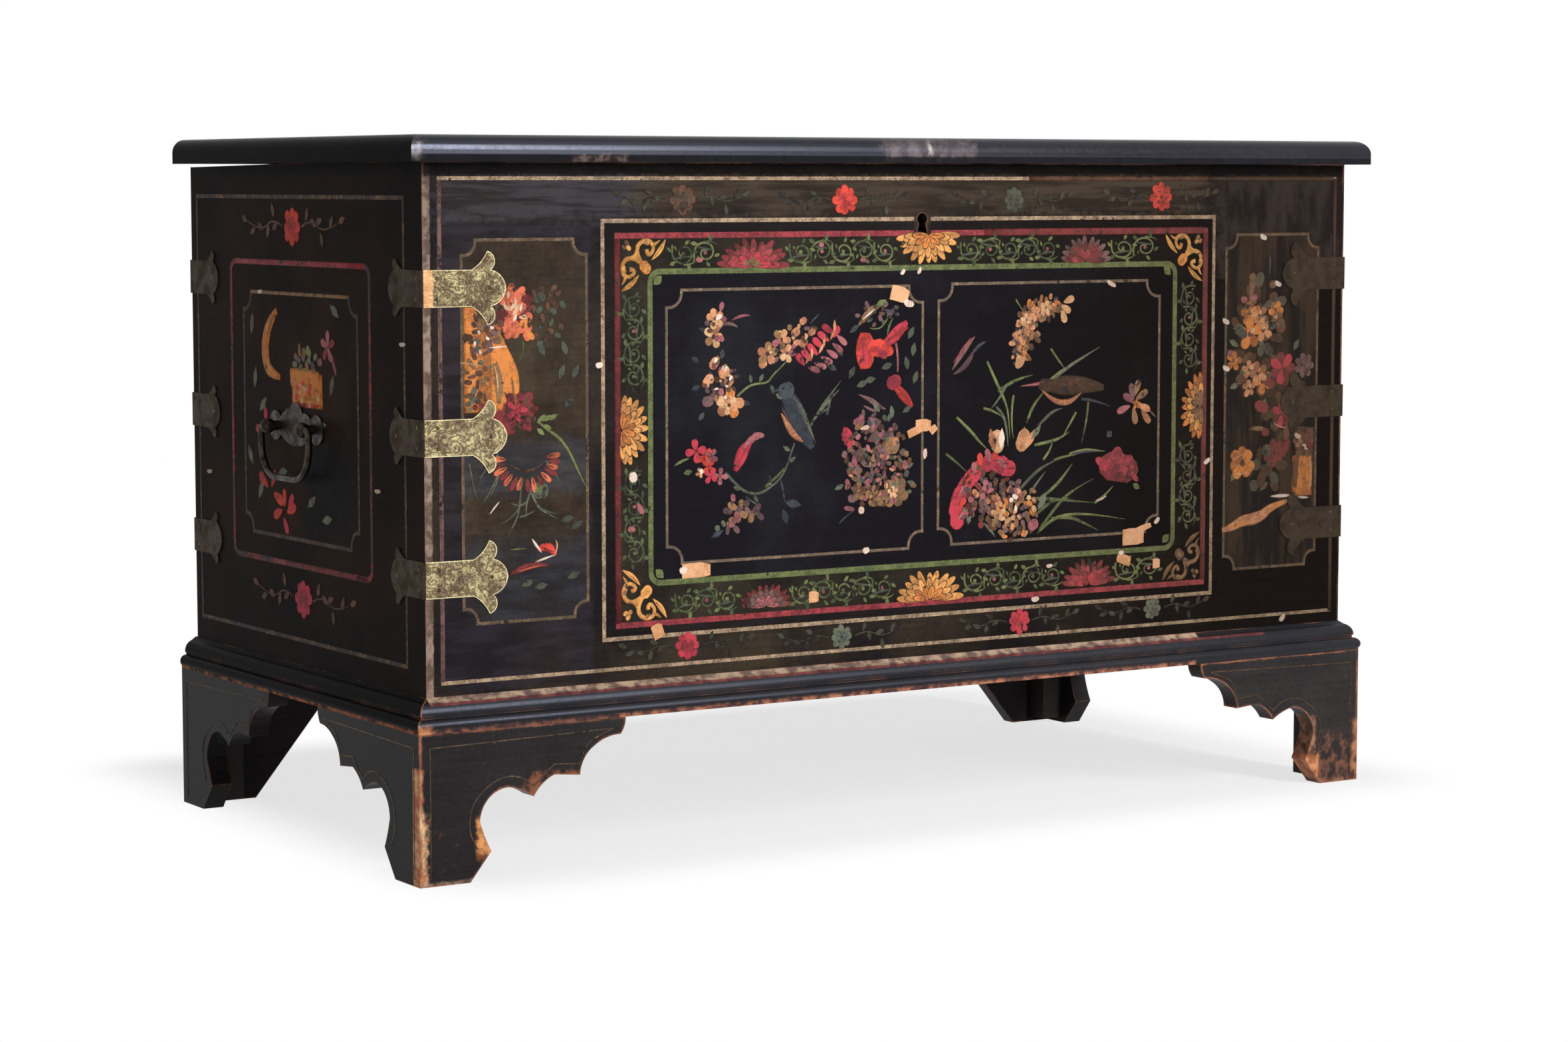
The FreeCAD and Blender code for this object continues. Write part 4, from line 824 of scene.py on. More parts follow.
def mirroredCorner(x, z, sx, sz, reach, gilt, layer=3):
    # the gilt corner scroll: two arched loops that meet on the diagonal, a knob between them, a broken
    # comma leaf out to each tip and a mottled bud in the corner
    def at(a, b):
        return (x + sx * a * reach, z - sz * b * reach)

    for swap in (False, True):
        def on(a, b):
            return at(b, a) if swap else at(a, b)

        stroke(gilt, "curl", 5.2, on(0.46, 0.46), on(0.36, 0.32), on(0.37, 0.12), on(0.52, 0.03),
               on(0.68, 0.06), on(0.73, 0.18), on(0.66, 0.3), on(0.58, 0.3), on(0.57, 0.2), layer=layer)
        stroke(gilt, "leaf", 6.5, on(0.68, 0.4), on(0.8, 0.3), on(0.92, 0.14), on(0.98, 0.02),
               layer=layer + 1)
        stroke(gilt, "comma", 4.0, on(0.7, 0.12), on(0.8, 0.09), on(0.86, 0.03), layer=layer)
        stroke(gilt, "comma", 3.4, on(0.36, 0.3), on(0.24, 0.32), on(0.16, 0.42), layer=layer)
        stroke("ink", "comma", 1.2, on(0.74, 0.34), on(0.84, 0.24), on(0.93, 0.12), layer=layer + 2)
        for a, b, size in ((0.07, 0.55, 5), (0.1, 0.68, 4), (0.6, 0.1, 3.5)):
            stamp((gilt, "tan"), "disc", *on(a, b), size, size * 0.8, 60, layer + 1)
    diagonal = math.degrees(math.atan2(-sz, sx))
    knob = "orange" if gilt == "scrollGold" else gilt
    stamp(knob, "disc", *at(0.54, 0.54), 0.3 * reach, 0.25 * reach, diagonal, layer + 2)
    stamp(gilt, "petal", *at(0.46, 0.46), 0.22 * reach, 0.15 * reach, diagonal, layer + 3)
    for a, b, size in ((0.14, 0.08, 0.13), (0.08, 0.16, 0.12), (0.18, 0.17, 0.13)):
        stamp((gilt, "tan", "umber"), "disc", *at(a, b), size * reach, size * 0.8 * reach, diagonal,
              layer + 1)


def spray(colour, width, *points, leaves=(), leafLength=9.0, layer=1):
    stroke(colour, "stem", width, *points, layer=layer)
    for share, lean in leaves:
        at = share * (len(points) - 1)
        low = min(int(at), len(points) - 2)
        (x0, z0), (x1, z1) = points[low], points[low + 1]
        x, z = x0 + (x1 - x0) * (at - low), z0 + (z1 - z0) * (at - low)
        turn = math.degrees(math.atan2(z1 - z0, x1 - x0)) + lean
        stamp(colour, "leaf", x, z, leafLength, leafLength * 0.42, turn, layer + 1)


# Coloured grounds first: the black field of the pictures, the brown border, the olive side panels.
groundBase = dict(caseLook, edgeShare=0.0, chipShare=0.015)
grounds = {
    "border": lacquer("brownBorderGround", dict(groundBase, ground="#231f1b", cloud="#373128",
                                                cloudSize=0.05, cloudShare=1.0)),
    "picture": lacquer("blackPictureGround", dict(groundBase, ground="#1a181d", cloud="#242429",
                                                  cloudShare=0.6, specular=0.012, crackShare=0.3,
                                                  streakShare=0.4)),
    "side": lacquer("oliveSideGround", dict(groundBase, ground="#2e2620", cloud="#4e4234", cloudSize=0.07,
                                            cloudShare=1.1, crackShare=1.0, zones=(
        (((0, -0.47, -0.34), (2, 0.325, 0.37)), 0.03, 0.55, "#31333c", "#484a4f", (20, 20, 70)),
        (((0, -0.47, -0.34), (2, 0.21, 0.285)), 0.04, 0.5, "#24262f", "#3b404b", (20, 20, 70)),
        (((0, 0.35, 0.47), (2, 0.21, 0.55)), 0.02, 0.5, "#25201d", "#45372b", (60, 60, 9))))),
    "gutter": lacquer("blackGutterGround", dict(groundBase, ground="#1b1718", cloud="#282321")),
    "end": lacquer("brownEndGround", dict(
        groundBase, ground="#1a120e", cloud="#332116", cloudSize=0.08, specular=0.01, zones=(
            (((1, bailY - 0.112, bailY - 0.02), (2, 0.272, 0.36)), 0.05, 0.85, "#121112", "#181617"),))),
}
panel("frontGutterGround", "front", grounds["gutter"], (-329, 338, 195, 554), 0)
panel("frontBorderGround", "front", grounds["border"], (-315, 328, 206, 541.5), 1)
panel("frontPictureGround", "front", grounds["picture"], (-283, 292, 240.5, 511), 2, corner=14)
panel("leftSideGround", "front", grounds["side"], (-464, -345, 217, 539), 0, corner=13, notched=True)
panel("rightSideGround", "front", grounds["side"], (354, 468, 216, 537), 0, corner=13, notched=True)

panel("outerGoldLine", "front", paints["frameGold"], (-486, 490, 167, 592), 2, line=3.2)
panel("mainGoldLine", "front", paints["frameGold"], (-331, 340, 193, 556), 3, line=3.6)
panel("redFrameLine", "front", paints["vermilionLine"], (-317.5, 330.5, 203.5, 544), 4, line=5)
panel("oliveFrameLine", "front", paints["oliveLine"], (-285, 294, 238.5, 513), 5, corner=12, line=5)
panel("leftPictureLine", "front", paints["panelGold"], (-267.5, 3.5, 255.5, 495.5), 5, corner=15,
      notched=True, line=2.6)
panel("rightPictureLine", "front", paints["panelGold"], (18.5, 274.5, 256.5, 496.5), 5, corner=15,
      notched=True, line=2.6)
panel("leftSideLine", "front", paints["sideGold"], (-465.5, -343.5, 215.5, 540.5), 2, corner=13,
      notched=True, line=2.8)
panel("rightSideLine", "front", paints["sideGold"], (352.5, 469.5, 214.5, 538.5), 2, corner=13, notched=True,
      line=2.8)
print("chest: grounds and frame lines are laid")

# Rosettes and faint foliage in the two plain bands.
rosette("umber", "shadowGreen", -250, 572, 14)
rosette("vermilion", "crimson", -82, 571, 14)
rosette("shadowGreen", "dimGreen", 103, 571, 12)
rosette("vermilion", "deepRed", 274, 573, 14)
rosette("crimson", "deepRed", -246, 184, 13)
rosette("greyGreen", "slate", -85, 181, 11.5)
rosette("crimson", "vermilion", 112, 182, 12.5)
rosette("greyGreen", "slate", 268, 184, 11)
for x, z in ((-250, 572), (-82, 571), (103, 571), (274, 573), (-246, 183), (-85, 181), (112, 182),
             (268, 184)):
    for side in (1, -1):
        spray("dimGreen", 1.8, (x + 14 * side, z), (x + 28 * side, z + 5), (x + 44 * side, z - 4),
              (x + 60 * side, z + 3), leaves=((0.2, 50), (0.35, -50), (0.5, 45), (0.65, -50), (0.85, 40),
                                              (1.0, 0)), leafLength=11)
paintArea("bands", "front")

# Border between the red and the olive line.
goldPetals, redPetals = ("lotusGold", "lotusGold", "orange"), ("deepRed", "lotusRed", "crimson")
lotus(redPetals, "umber", -178, 514, 78, 25, 90)
lotus(goldPetals, "umber", 8, 540, 70, 27, -90)
lotus(("mauve", "deepRed", "lotusRed"), "umber", 185, 514, 62, 24, 90)
lotus(goldPetals, "umber", -311, 375, 66, 27, 0)
lotus(("orange", "lotusGold", "tan"), "umber", 325, 374, 66, 26, 180)
lotus(goldPetals, "umber", 10, 209, 76, 27, 90)
lotus(redPetals, "umber", 192, 212, 62, 25, 90)
lotus(("deepRed", "mauve", "rose"), "umber", -165, 214, 56, 21, 90)
for x, z, length in ((-184, 517, 9), (-175, 516, 11), (-179, 519, 9)):
    stamp("tan", "disc", x, z, length, 6, 0, 8)
for start, end, count in (((-260, 526), (-216, 526), 2), ((-140, 526), (-28, 526), 5),
                          ((44, 526), (152, 526), 5), ((216, 526), (268, 526), 2),
                          ((-258, 223), (-195, 223), 3), ((-137, 223), (-30, 223), 5),
                          ((50, 223), (160, 223), 5), ((224, 223), (276, 223), 2),
                          ((-299, 489), (-299, 411), 4), ((-299, 339), (-299, 258), 4),
                          ((309, 489), (309, 410), 4), ((309, 338), (309, 262), 4)):
    scrollVine("vineGreen" if start[1] == end[1] else "duskGreen", "rose", start, end, count, 12)
for x, z, sx, sz, gilt in ((-312, 539, 1, 1, "scrollGold"), (325, 539, -1, 1, "scrollGold"),
                           (-312, 209, 1, -1, "lotusGold"), (325, 209, -1, -1, "tan")):
    mirroredCorner(x, z, sx, sz, 46, gilt)
# the upright lines have lost most of their colour
stroke("deepRed", "line", 7.4, (-315, 208), (-315, 375), (-315, 539))
stroke("deepRed", "line", 7.4, (328, 208), (328, 375), (328, 539))
stroke("mauve", "line", 4.2, (-484.2, 170), (-484.2, 380), (-484.2, 589))
stroke("soot", "line", 5.0, (488.4, 168), (488.4, 380), (488.4, 590.4))
stroke("umber", "line", 4.8, (120, 590.4), (230, 590.4), (330, 590.4))
stroke("soot", "line", 4.8, (330, 590.4), (400, 590.4), (486, 590.4))
stroke("deepRed", "line", 7.4, (70, 541.5), (200, 541.5), (327, 541.5))
for x, z, turn in ((-275, 503, 45), (282, 504, 135), (-274, 249, -45), (283, 250, -135)):
    stamp("oliveLine", "leaf", x - 6 * math.cos(math.radians(turn)), z - 6 * math.sin(math.radians(turn)),
          12, 8, turn, 6)
stamp("cream", "disc", -300, 334, 9, 11, 10, 3)
stamp("rose", "petal", -296, 312, 12, 8, -60, 3)
stamp("rose", "disc", -302, 289, 8, 6, 0, 3)
stamp("rose", "disc", -233, 520, 8, 5, 0, 3)
stamp("rose", "disc", -62, 518, 8, 5, 0, 3)
stamp("rose", "disc", -107, 532, 6, 5, 0, 3)
paintArea("border", "front")

# Left picture: blossom twigs, a crimson spray, red lilies, a grey bird on a branch, peonies and berries.
blossom(("peach", "rose", "apricot"), -217, 469, 10, turn=30)
blossom(("peach", "apricot", "tan"), -219, 453, 11, turn=75)
cluster(("mauve", "umber", "rose"), -216, 460, 20, 34, 10, 6.5, layer=1)
cluster(("mauve", "umber", "rose", "tan"), -212, 412, 36, 44, 22, 7, layer=1)
cluster(("cream", "apricot"), -208, 410, 22, 36, 8, 3.6, layer=5)
stamp("cream", "petal", -217, 468, 8, 6, 30, 4)
stamp("rose", "petal", -212, 474, 10, 7, 75)
stroke("mauve", "leaf", 8, (-212, 462), (-203, 467), (-194, 461))
stroke("rose", "leaf", 6, (-200, 467), (-191, 472), (-181, 471))
stamp("slate", "leaf", -226, 458, 9, 4, 160)
for x, z, size in ((-218, 430, 13), (-208, 422, 14), (-203, 414, 13), (-224, 415, 14)):
    stamp("peach", "disc", x, z, size, size * 0.8, 50)
    stamp("cream", "petal", x, z, size * 0.45, size * 0.35, 60, 4)
stamp("mauve", "disc", -216, 403, 15, 12, 40)
stamp("mauve", "disc", -225, 397, 12, 11, 10)
blossom(("peach", "apricot", "orange"), -203, 394, 15, turn=10)
blossom(("apricot", "peach"), -203, 393, 9, turn=40, layer=4)
for x, z, turn in ((-233, 431, 150), (-232, 411, 200), (-228, 388, 230), (-211, 433, 80), (-190, 396, -20)):
    stamp("slate", "leaf", x, z, 10, 5, turn, 1)
stroke("leafGreen", "stem", 3, (-195, 400), (-188, 406), (-178, 411), (-163, 411), (-158, 418), (-150, 424),
       (-142, 431))
for x, z, turn in ((-180, 411, 100), (-172, 412, 60), (-160, 410, -70), (-155, 402, -40)):
    stamp("greyGreen", "leaf", x, z, 9, 4, turn)
peachMix = ("peach", "peach", "rose", "apricot", "tan")
blossom(peachMix, -163, 437, 12, turn=15)
blossom(peachMix, -149, 449, 10, turn=60)
blossom(peachMix, -143, 437, 9, turn=0)
cluster(("mauve", "umber", "rose", "tan"), -140, 447, 56, 26, 14, 6.5, layer=1, turn=25)
cluster(("apricot", "peach"), -143, 448, 50, 22, 7, 3.6, layer=5, turn=25)
for x, z, size in ((-168, 428, 10), (-134, 455, 11), (-126, 465, 9), (-126, 446, 11), (-117, 455, 9),
                   (-133, 446, 8)):
    stamp("peach", "disc", x, z, size, size * 0.85, 30)
for x, z in ((-163, 439), (-149, 452), (-132, 457), (-124, 448)):
    stamp("apricot", "petal", x, z, 6, 5, 70, 4)
stroke("slate", "leaf", 4, (-119, 462), (-114, 467), (-109, 471))
for k, (x, z) in enumerate(((-124, 425), (-117, 429), (-110, 434), (-104, 440), (-98, 446), (-93, 453))):
    stamp("crimson", "petal", x, z, 16, 9, 130 + 4 * k)
    stamp("rose", "petal", x + 2, z - 1, 15, 8, -15 - 5 * k, 3)
    stamp("peach", "leaf", x, z + 1, 12, 3, 60 + 30 * (k % 2), 4)
stamp("crimson", "petal", -95, 449, 13, 11, 60, 4)
stroke("tan", "leaf", 11, (-68, 459), (-60, 468), (-50, 476), (-43, 477))
stroke("cream", "leaf", 5, (-63, 465), (-56, 470), (-50, 474), layer=3)
stamp("leafGreen", "leaf", -50, 476, 15, 6, 25)
stamp("slate", "leaf", -40, 474, 12, 5, -30)
stamp("slate", "leaf", -66, 461, 14, 5, 215)
stroke("leafGreen", "stem", 2.4, (-33, 470), (-38, 462), (-46, 455), (-55, 457))
stroke("leafGreen", "leaf", 5, (-30, 466), (-36, 458), (-36, 450))
stamp("vermilion", "disc", -60, 437, 22, 39, 0)
stamp("vermilion", "disc", -48, 441, 22, 14, 10)
cluster(("umber", "shadowGreen", "mauve"), -46, 470, 46, 22, 18, 6, layer=1)
stamp("vermilion", "petal", -58, 438, 18, 14, -10, 3)
stamp("crimson", "petal", -60, 422, 18, 13, 95, 3)
stamp("crimson", "leaf", -63, 424, 28, 4, 88, 4)
stamp("vermilion", "petal", -52, 440, 24, 15, -12, 3)
stamp("crimson", "petal", -50, 440, 17, 12, -35, 4)
stroke("crimson", "body", 17, (-42, 441), (-32, 446), (-22, 456), (-15, 462))
stroke("vermilion", "body", 9, (-36, 446), (-26, 451), (-14, 457), layer=3)
stroke("deepRed", "leaf", 1.4, (-40, 443), (-28, 450), (-16, 460), layer=4)
stroke("deepRed", "leaf", 1.4, (-64, 450), (-61, 438), (-62, 424), layer=5)
stroke("rose", "stem", 3.2, (-27, 443), (-24, 431), (-25, 417))
stamp("crimson", "disc", -29, 408, 18, 15, 20)
stroke("vermilion", "body", 14, (-31, 408), (-22, 399), (-14, 391), (-9, 385))
stroke("crimson", "leaf", 4, (-26, 404), (-18, 396), (-11, 388), layer=3)
stroke("mauve", "leaf", 7.5, (-67, 398), (-54, 393), (-46, 387), (-38, 384))
stroke("mauve", "leaf", 6, (-62, 388), (-55, 384), (-47, 382))
for x, z, turn in ((-14, 446, 60), (-9, 430, 80), (-14, 418, 100), (-8, 405, 70), (-78, 412, 60),
                   (-70, 405, 20), (-84, 432, 120), (-90, 420, 150), (-30, 425, 200), (-48, 412, 190)):
    stamp("shadowGreen", "leaf", x, z, 14, 6, turn, 1)
for points in (((-118, 372), (-108, 386), (-98, 398), (-86, 411)), ((-110, 382), (-101, 392), (-88, 403)),
               ((-101, 381), (-99, 392), (-93, 404)), ((-112, 380), (-104, 385), (-97, 388))):
    stroke("greyGreen", "blade", 4.5, *points)
stroke("slate", "body", 27, (-149, 405), (-141, 397), (-133, 381), (-127, 366), (-116, 352))
stamp("slate", "disc", -144, 404, 19, 17, 20, 3)
for k in range(5):
    stroke("greyGreen", "leaf", 3.4, (-137 + 3 * k, 398 - 6 * k), (-129 + 3 * k, 391 - 6 * k),
           (-121 + 2 * k, 380 - 6 * k), layer=3)
stroke("peach", "leaf", 10, (-149, 384), (-142, 372), (-133, 362), (-126, 358), layer=3)
stroke("mauve", "leaf", 4, (-149, 390), (-144, 381), (-139, 374), layer=4)
stamp("ink", "disc", -147, 406, 2.4, 2.4, 0, 5)
stroke("slate", "comma", 3, (-151, 405), (-156, 404), (-161, 402))
stroke("greyGreen", "stem", 3.6, (-207, 334), (-198, 325), (-187, 316), (-173, 313), (-160, 319),
       (-149, 327), (-143, 337), (-139, 348), (-135, 357))
stroke("leafGreen", "stem", 3.8, (-166, 319), (-158, 325), (-150, 331), (-146, 335), layer=2)
stroke("slate", "stem", 2.8, (-150, 326), (-147, 317), (-146, 306), (-142, 302))
stamp("slate", "leaf", -146, 305, 19, 8, -10)
stamp("slate", "leaf", -148, 300, 16, 7, -70)
for x, z, turn in ((-178, 314, -60), (-160, 320, 100), (-190, 318, 160), (-142, 340, 30), (-139, 350, 150)):
    stamp("greyGreen", "leaf", x, z, 10, 4, turn)
for x, z, size, colour in ((-237, 354, 18, "crimson"), (-228, 350, 14, "vermilion"), (-221, 349, 12, "rose"),
                           (-224, 340, 13, "vermilion"), (-222, 332, 13, "crimson"), (-212, 331, 13, "rose"),
                           (-233, 335, 8, "peach")):
    for k in range(4):
        stamp(colour, "petal", x, z, size * 0.62, size * 0.55, 90 * k + 3 * x)
stamp("deepRed", "disc", -236, 354, 4, 4, 0, 4)
stamp("cream", "petal", -231, 333, 6, 5, 100, 4)
stroke("leafGreen", "leaf", 6, (-259, 342), (-252, 346), (-244, 348))
stamp("leafGreen", "leaf", -250, 335, 10, 5, 10)
stroke("crimson", "body", 17, (-197, 335), (-192, 344), (-188, 354), (-180, 361))
stroke("rose", "body", 10, (-189, 354), (-181, 362), (-172, 366), (-167, 365), layer=3)
stroke("deepRed", "leaf", 1.4, (-195, 338), (-190, 347), (-184, 357), layer=4)
cluster(("mauve", "tan", "rose", "tan"), -196, 301, 24, 26, 9, 9)
cluster(("tan", "mauve"), -180, 297, 22, 14, 6, 9)
cluster(("rose", "greyGreen", "mauve"), -205, 287, 24, 12, 6, 7)
stamp("slate", "leaf", -208, 284, 16, 5, 205)
stroke("greyGreen", "stem", 2.2, (-172, 303), (-178, 306), (-186, 312))
for k in range(5):
    stamp("crimson", "petal", -73, 362, 13, 8, 150 + 24 * k)
stamp("rose", "petal", -68, 366, 13, 9, 60)
stamp("cream", "petal", -66, 367, 11, 6, 10, 5)
for x, z, turn in ((-58, 356, 20), (-55, 362, 60), (-50, 351, -20), (-45, 358, 10), (-60, 350, 220),
                   (-48, 347, -60)):
    stamp("mauve", "petal", x, z, 17, 13, turn, 3)
stroke("deepRed", "leaf", 1.3, (-62, 356), (-52, 355), (-42, 356), layer=5)
stamp("tan", "disc", -31, 351, 18, 19, 0, 4)
stamp("peach", "petal", -33, 350, 12, 9, 40, 5)
cluster(("umber", "mauve", "rose", "shadowGreen", "tan", "umber"), -48, 336, 72, 84, 90, 7.5, layer=1)
cluster(("rose", "tan", "mauve", "peach", "greyGreen"), -48, 334, 62, 74, 46, 4.6, layer=5)
cluster(("mauve", "rose", "slate"), -58, 376, 30, 12, 7, 7)
cluster(("mauve", "rose", "mauve", "tan"), -55, 334, 46, 16, 13, 6.5)
cluster(("mauve", "slate", "rose"), -46, 323, 50, 10, 10, 6)
blossom("tan", -66, 311, 9)
stamp("mauve", "disc", -74, 305, 10, 9, 0)
blossom("tan", -49, 306, 11, turn=20)
blossom("tan", -28, 309, 15, petals=7)
blossom("apricot", -30, 309, 6, heart="orange", layer=4)
cluster(("tan", "greyGreen"), -24, 312, 34, 22, 9, 6, layer=1)
stamp("rose", "disc", -77, 296, 13, 5, -10)
stamp("cream", "disc", -64, 294, 7, 8, 0)
stroke("slate", "stem", 2.4, (-88, 283), (-80, 290), (-72, 294))
for x, z, turn in ((-36, 372, 60), (-30, 376, 100), (-20, 380, 30), (-44, 381, 130), (-82, 318, 200),
                   (-18, 330, 20), (-15, 318, -20)):
    stamp("greyGreen", "leaf", x, z, 12, 5, turn, 1)
paintArea("leftPicture", "front")

# Right picture: a hanging spray, a moth, a brown bird over reeds, tulip buds, peonies and iris leaves.
for k, (x, z) in enumerate(((111, 430), (108, 440), (110, 450), (116, 459), (124, 467), (134, 472),
                            (145, 474))):
    cluster(("peach", "tan", "peach", "mauve"), x + 2, z, 22, 18, 8, 8, layer=2)
for k, (x, z) in enumerate(((110, 447), (118, 461), (128, 466), (140, 472), (122, 452))):
    blossom("apricot" if k % 2 else "peach", x, z, 7, heart="tan", turn=25 * k, layer=5)
for x, z, turn in ((112, 429, 250), (107, 431, 290), (117, 428, 230), (157, 474, 330), (158, 470, 290),
                   (160, 476, 20)):
    stamp("apricot", "petal", x, z, 14, 10, turn, 5)
stroke("leafGreen", "stem", 2, (106, 480), (111, 472), (118, 466))
stroke("mauve", "leaf", 9, (35, 417), (44, 430), (52, 440), (60, 447))
stroke("crimson", "leaf", 3.5, (36, 424), (46, 434), (55, 446), layer=3)
stroke("mauve", "leaf", 8, (36, 413), (46, 417), (56, 428), (60, 436))
stroke("slate", "leaf", 8, (56, 430), (63, 439), (72, 442))
for points in (((74, 424), (84, 405), (93, 390), (99, 374), (100, 352)),
               ((86, 396), (97, 402), (113, 408), (126, 410)),
               ((119, 366), (124, 378), (132, 388), (141, 396)), ((190, 383), (189, 365), (182, 344)),
               ((176, 374), (168, 362), (160, 351)), ((132, 362), (142, 371), (152, 377), (160, 378)),
               ((84, 382), (92, 376), (97, 360), (98, 345)), ((104, 392), (100, 372), (104, 352)),
               ((70, 381), (82, 379), (92, 372)), ((40, 374), (56, 361), (66, 350), (75, 343)),
               ((28, 341), (38, 335), (52, 323)), ((128, 345), (142, 347), (158, 350), (168, 356)),
               ((96, 402), (88, 388), (78, 380)), ((146, 434), (153, 425), (163, 414)),
               ((150, 405), (165, 416), (182, 424), (203, 434)), ((146, 405), (156, 412), (166, 417))):
    stroke("leafGreen" if points[0][0] % 3 else "greyGreen", "blade", 4.4, *points)
for points in (((132, 263), (146, 274), (164, 279), (196, 278), (234, 271)),
               ((148, 276), (168, 277), (186, 270), (203, 262)),
               ((118, 296), (140, 295), (165, 292), (200, 288)),
               ((134, 266), (150, 283), (168, 300), (197, 311)),
               ((140, 298), (153, 306), (164, 317), (172, 326)),
               ((111, 304), (124, 316), (140, 326), (156, 331)), ((123, 300), (131, 310), (141, 320)),
               ((138, 331), (146, 338), (149, 348)), ((168, 335), (182, 338), (196, 338), (210, 336)),
               ((130, 280), (142, 289), (156, 294), (170, 294)), ((198, 288), (208, 292), (220, 303)),
               ((150, 330), (164, 334), (176, 334))):
    stroke("greyGreen" if points[0][0] % 2 else "leafGreen", "blade", 4.6, *points)
stroke("slate", "blade", 5, (172, 335), (186, 338), (206, 336), layer=2)
cluster(("umber", "tan", "umber", "orange"), 120, 452, 30, 56, 34, 7.5, layer=1, turn=-14)
cluster(("umber", "tan", "orange"), 140, 470, 40, 20, 16, 7, layer=1, turn=20)
stroke("soot", "body", 25, (132, 400), (148, 400), (166, 399), (188, 399), (208, 396))
stamp("soot", "disc", 141, 400, 19, 15, 0, 3)
stamp("umber", "leaf", 138, 402, 50, 8, 2, 3)
for k in range(5):
    stroke("umber", "leaf", 2.2, (150 + 9 * k, 406 - k), (160 + 9 * k, 402 - k), (170 + 9 * k, 395), layer=4)
stroke("peach", "leaf", 7, (136, 396), (146, 387), (162, 382), (174, 386), (182, 392), layer=4)
stroke("orange", "leaf", 3.5, (150, 386), (162, 384), (172, 387), layer=5)
stroke("rose", "blade", 5, (137, 402), (126, 401), (112, 400), layer=3)
stroke("deepRed", "leaf", 3, (140, 403), (132, 403), (124, 402), layer=4)
stamp("ink", "disc", 141, 403, 2.2, 2.2, 0, 5)
stroke("slate", "blade", 5, (182, 386), (196, 385), (216, 378))
for x, z, turn in ((86, 350, 95), (115, 350, 70)):
    stamp("apricot", "disc", x, z, 24, 17, turn)
    stamp("peach", "leaf", x - 3, z - 10, 24, 9, turn + 8, 3)
    stamp(("cream", "peach"), "leaf", x + 4, z - 8, 21, 7, turn - 8, 3)
stamp("greyGreen", "leaf", 124, 350, 18, 6, 50, 4)
for k, (x, z) in enumerate(((41, 281), (40, 291), (43, 301), (50, 311), (58, 319), (67, 327), (78, 331),
                            (89, 329), (97, 325))):
    stamp("crimson", "disc", x, z, 22, 18, 90 - 12 * k)
    stamp("vermilion" if k % 2 else "rose", "petal", x, z, 14, 9, 20 + 15 * k, 3)
    stamp("deepRed", "leaf", x, z, 11, 1.4, 60 - 8 * k, 4)
cluster(("umber", "deepRed", "mauve", "umber"), 76, 300, 62, 56, 60, 8, layer=1, turn=-30)
cluster(("rose", "peach", "mauve", "rose"), 66, 300, 36, 30, 14, 8)
cluster(("umber", "tan", "mauve"), 104, 286, 58, 58, 40, 7, layer=1)
cluster(("peach", "tan", "apricot", "mauve", "orange"), 104, 284, 54, 50, 54, 6.8)
cluster(("apricot", "orange"), 90, 285, 16, 14, 5, 7, layer=5)
cluster(("rose", "cream", "peach"), 110, 296, 22, 18, 8, 6, layer=5)
stamp("rose", "disc", 127, 271, 14, 12, 30, 5)
cluster(("greyGreen", "leafGreen"), 54, 284, 18, 12, 5, 7, layer=1)
stroke("greyGreen", "leaf", 7, (70, 276), (78, 270), (84, 262))
stamp("greyGreen", "leaf", 132, 284, 20, 9, 60)
for x, z, turn, colour in ((245, 383, 30, "tan"), (243, 382, 100, "mauve"), (246, 380, 150, "rose"),
                           (247, 379, -20, "peach"), (243, 377, -80, "tan"), (240, 378, 200, "rose"),
                           (244, 386, 70, "tan"), (252, 374, -50, "peach")):
    stamp(colour, "petal", x, z, 18, 10, turn, 3)
stroke("mauve", "leaf", 5, (256, 376), (264, 372), (270, 366))
blossom("orange", 247, 379, 5, heart="umber", layer=5)
stamp("deepRed", "disc", 226, 320, 52, 32, -10)
cluster(("lotusRed", "crimson", "lotusRed"), 222, 323, 36, 17, 12, 15, layer=3)
cluster(("deepRed", "lotusRed"), 236, 314, 22, 12, 6, 11, layer=6)
stroke("mauve", "leaf", 2, (206, 324), (216, 329), (228, 330), layer=8)
stamp("leafGreen", "leaf", 243, 304, 10, 6, -30)
stroke("cream", "leaf", 6, (200, 290), (206, 291), (212, 294))
stamp("slate", "disc", 215, 352, 8, 5, 45, 1)
stamp("slate", "disc", 215, 352, 8, 4, -45, 1)
paintArea("rightPicture", "front")

# Left side panel: a tall orange vase of coral flowers, a ring of red petals, grasses and a small bird.
stroke("orange", "line", 18, (-455, 395), (-455, 440), (-455, 483))
stroke("orange", "line", 22, (-443, 395), (-443, 430), (-443, 480))
stroke("orange", "line", 20, (-430, 395), (-430, 420), (-433, 456))
stroke("orange", "body", 24, (-424, 384), (-419, 404), (-420, 424), (-428, 444), (-436, 468))
stroke("tan", "leaf", 9, (-418, 396), (-414, 410), (-418, 424), layer=2)
stroke("orange", "leaf", 8, (-414, 395), (-412, 404), (-417, 414), layer=3)
stroke("tan", "body", 20, (-433, 436), (-428, 420), (-430, 402), layer=3)
stroke("apricot", "leaf", 6, (-434, 434), (-430, 424), (-431, 412), layer=4)
cluster(("umber", "tan", "orange", "mauve", "umber"), -444, 464, 34, 36, 30, 8, layer=3)
cluster(("umber", "tan", "umber", "greyGreen"), -450, 428, 24, 56, 22, 7, layer=3)
cluster(("umber", "greyGreen", "deepRed"), -452, 404, 18, 16, 8, 6, layer=3)
stroke("umber", "leaf", 5, (-452, 480), (-444, 476), (-436, 481), layer=5)
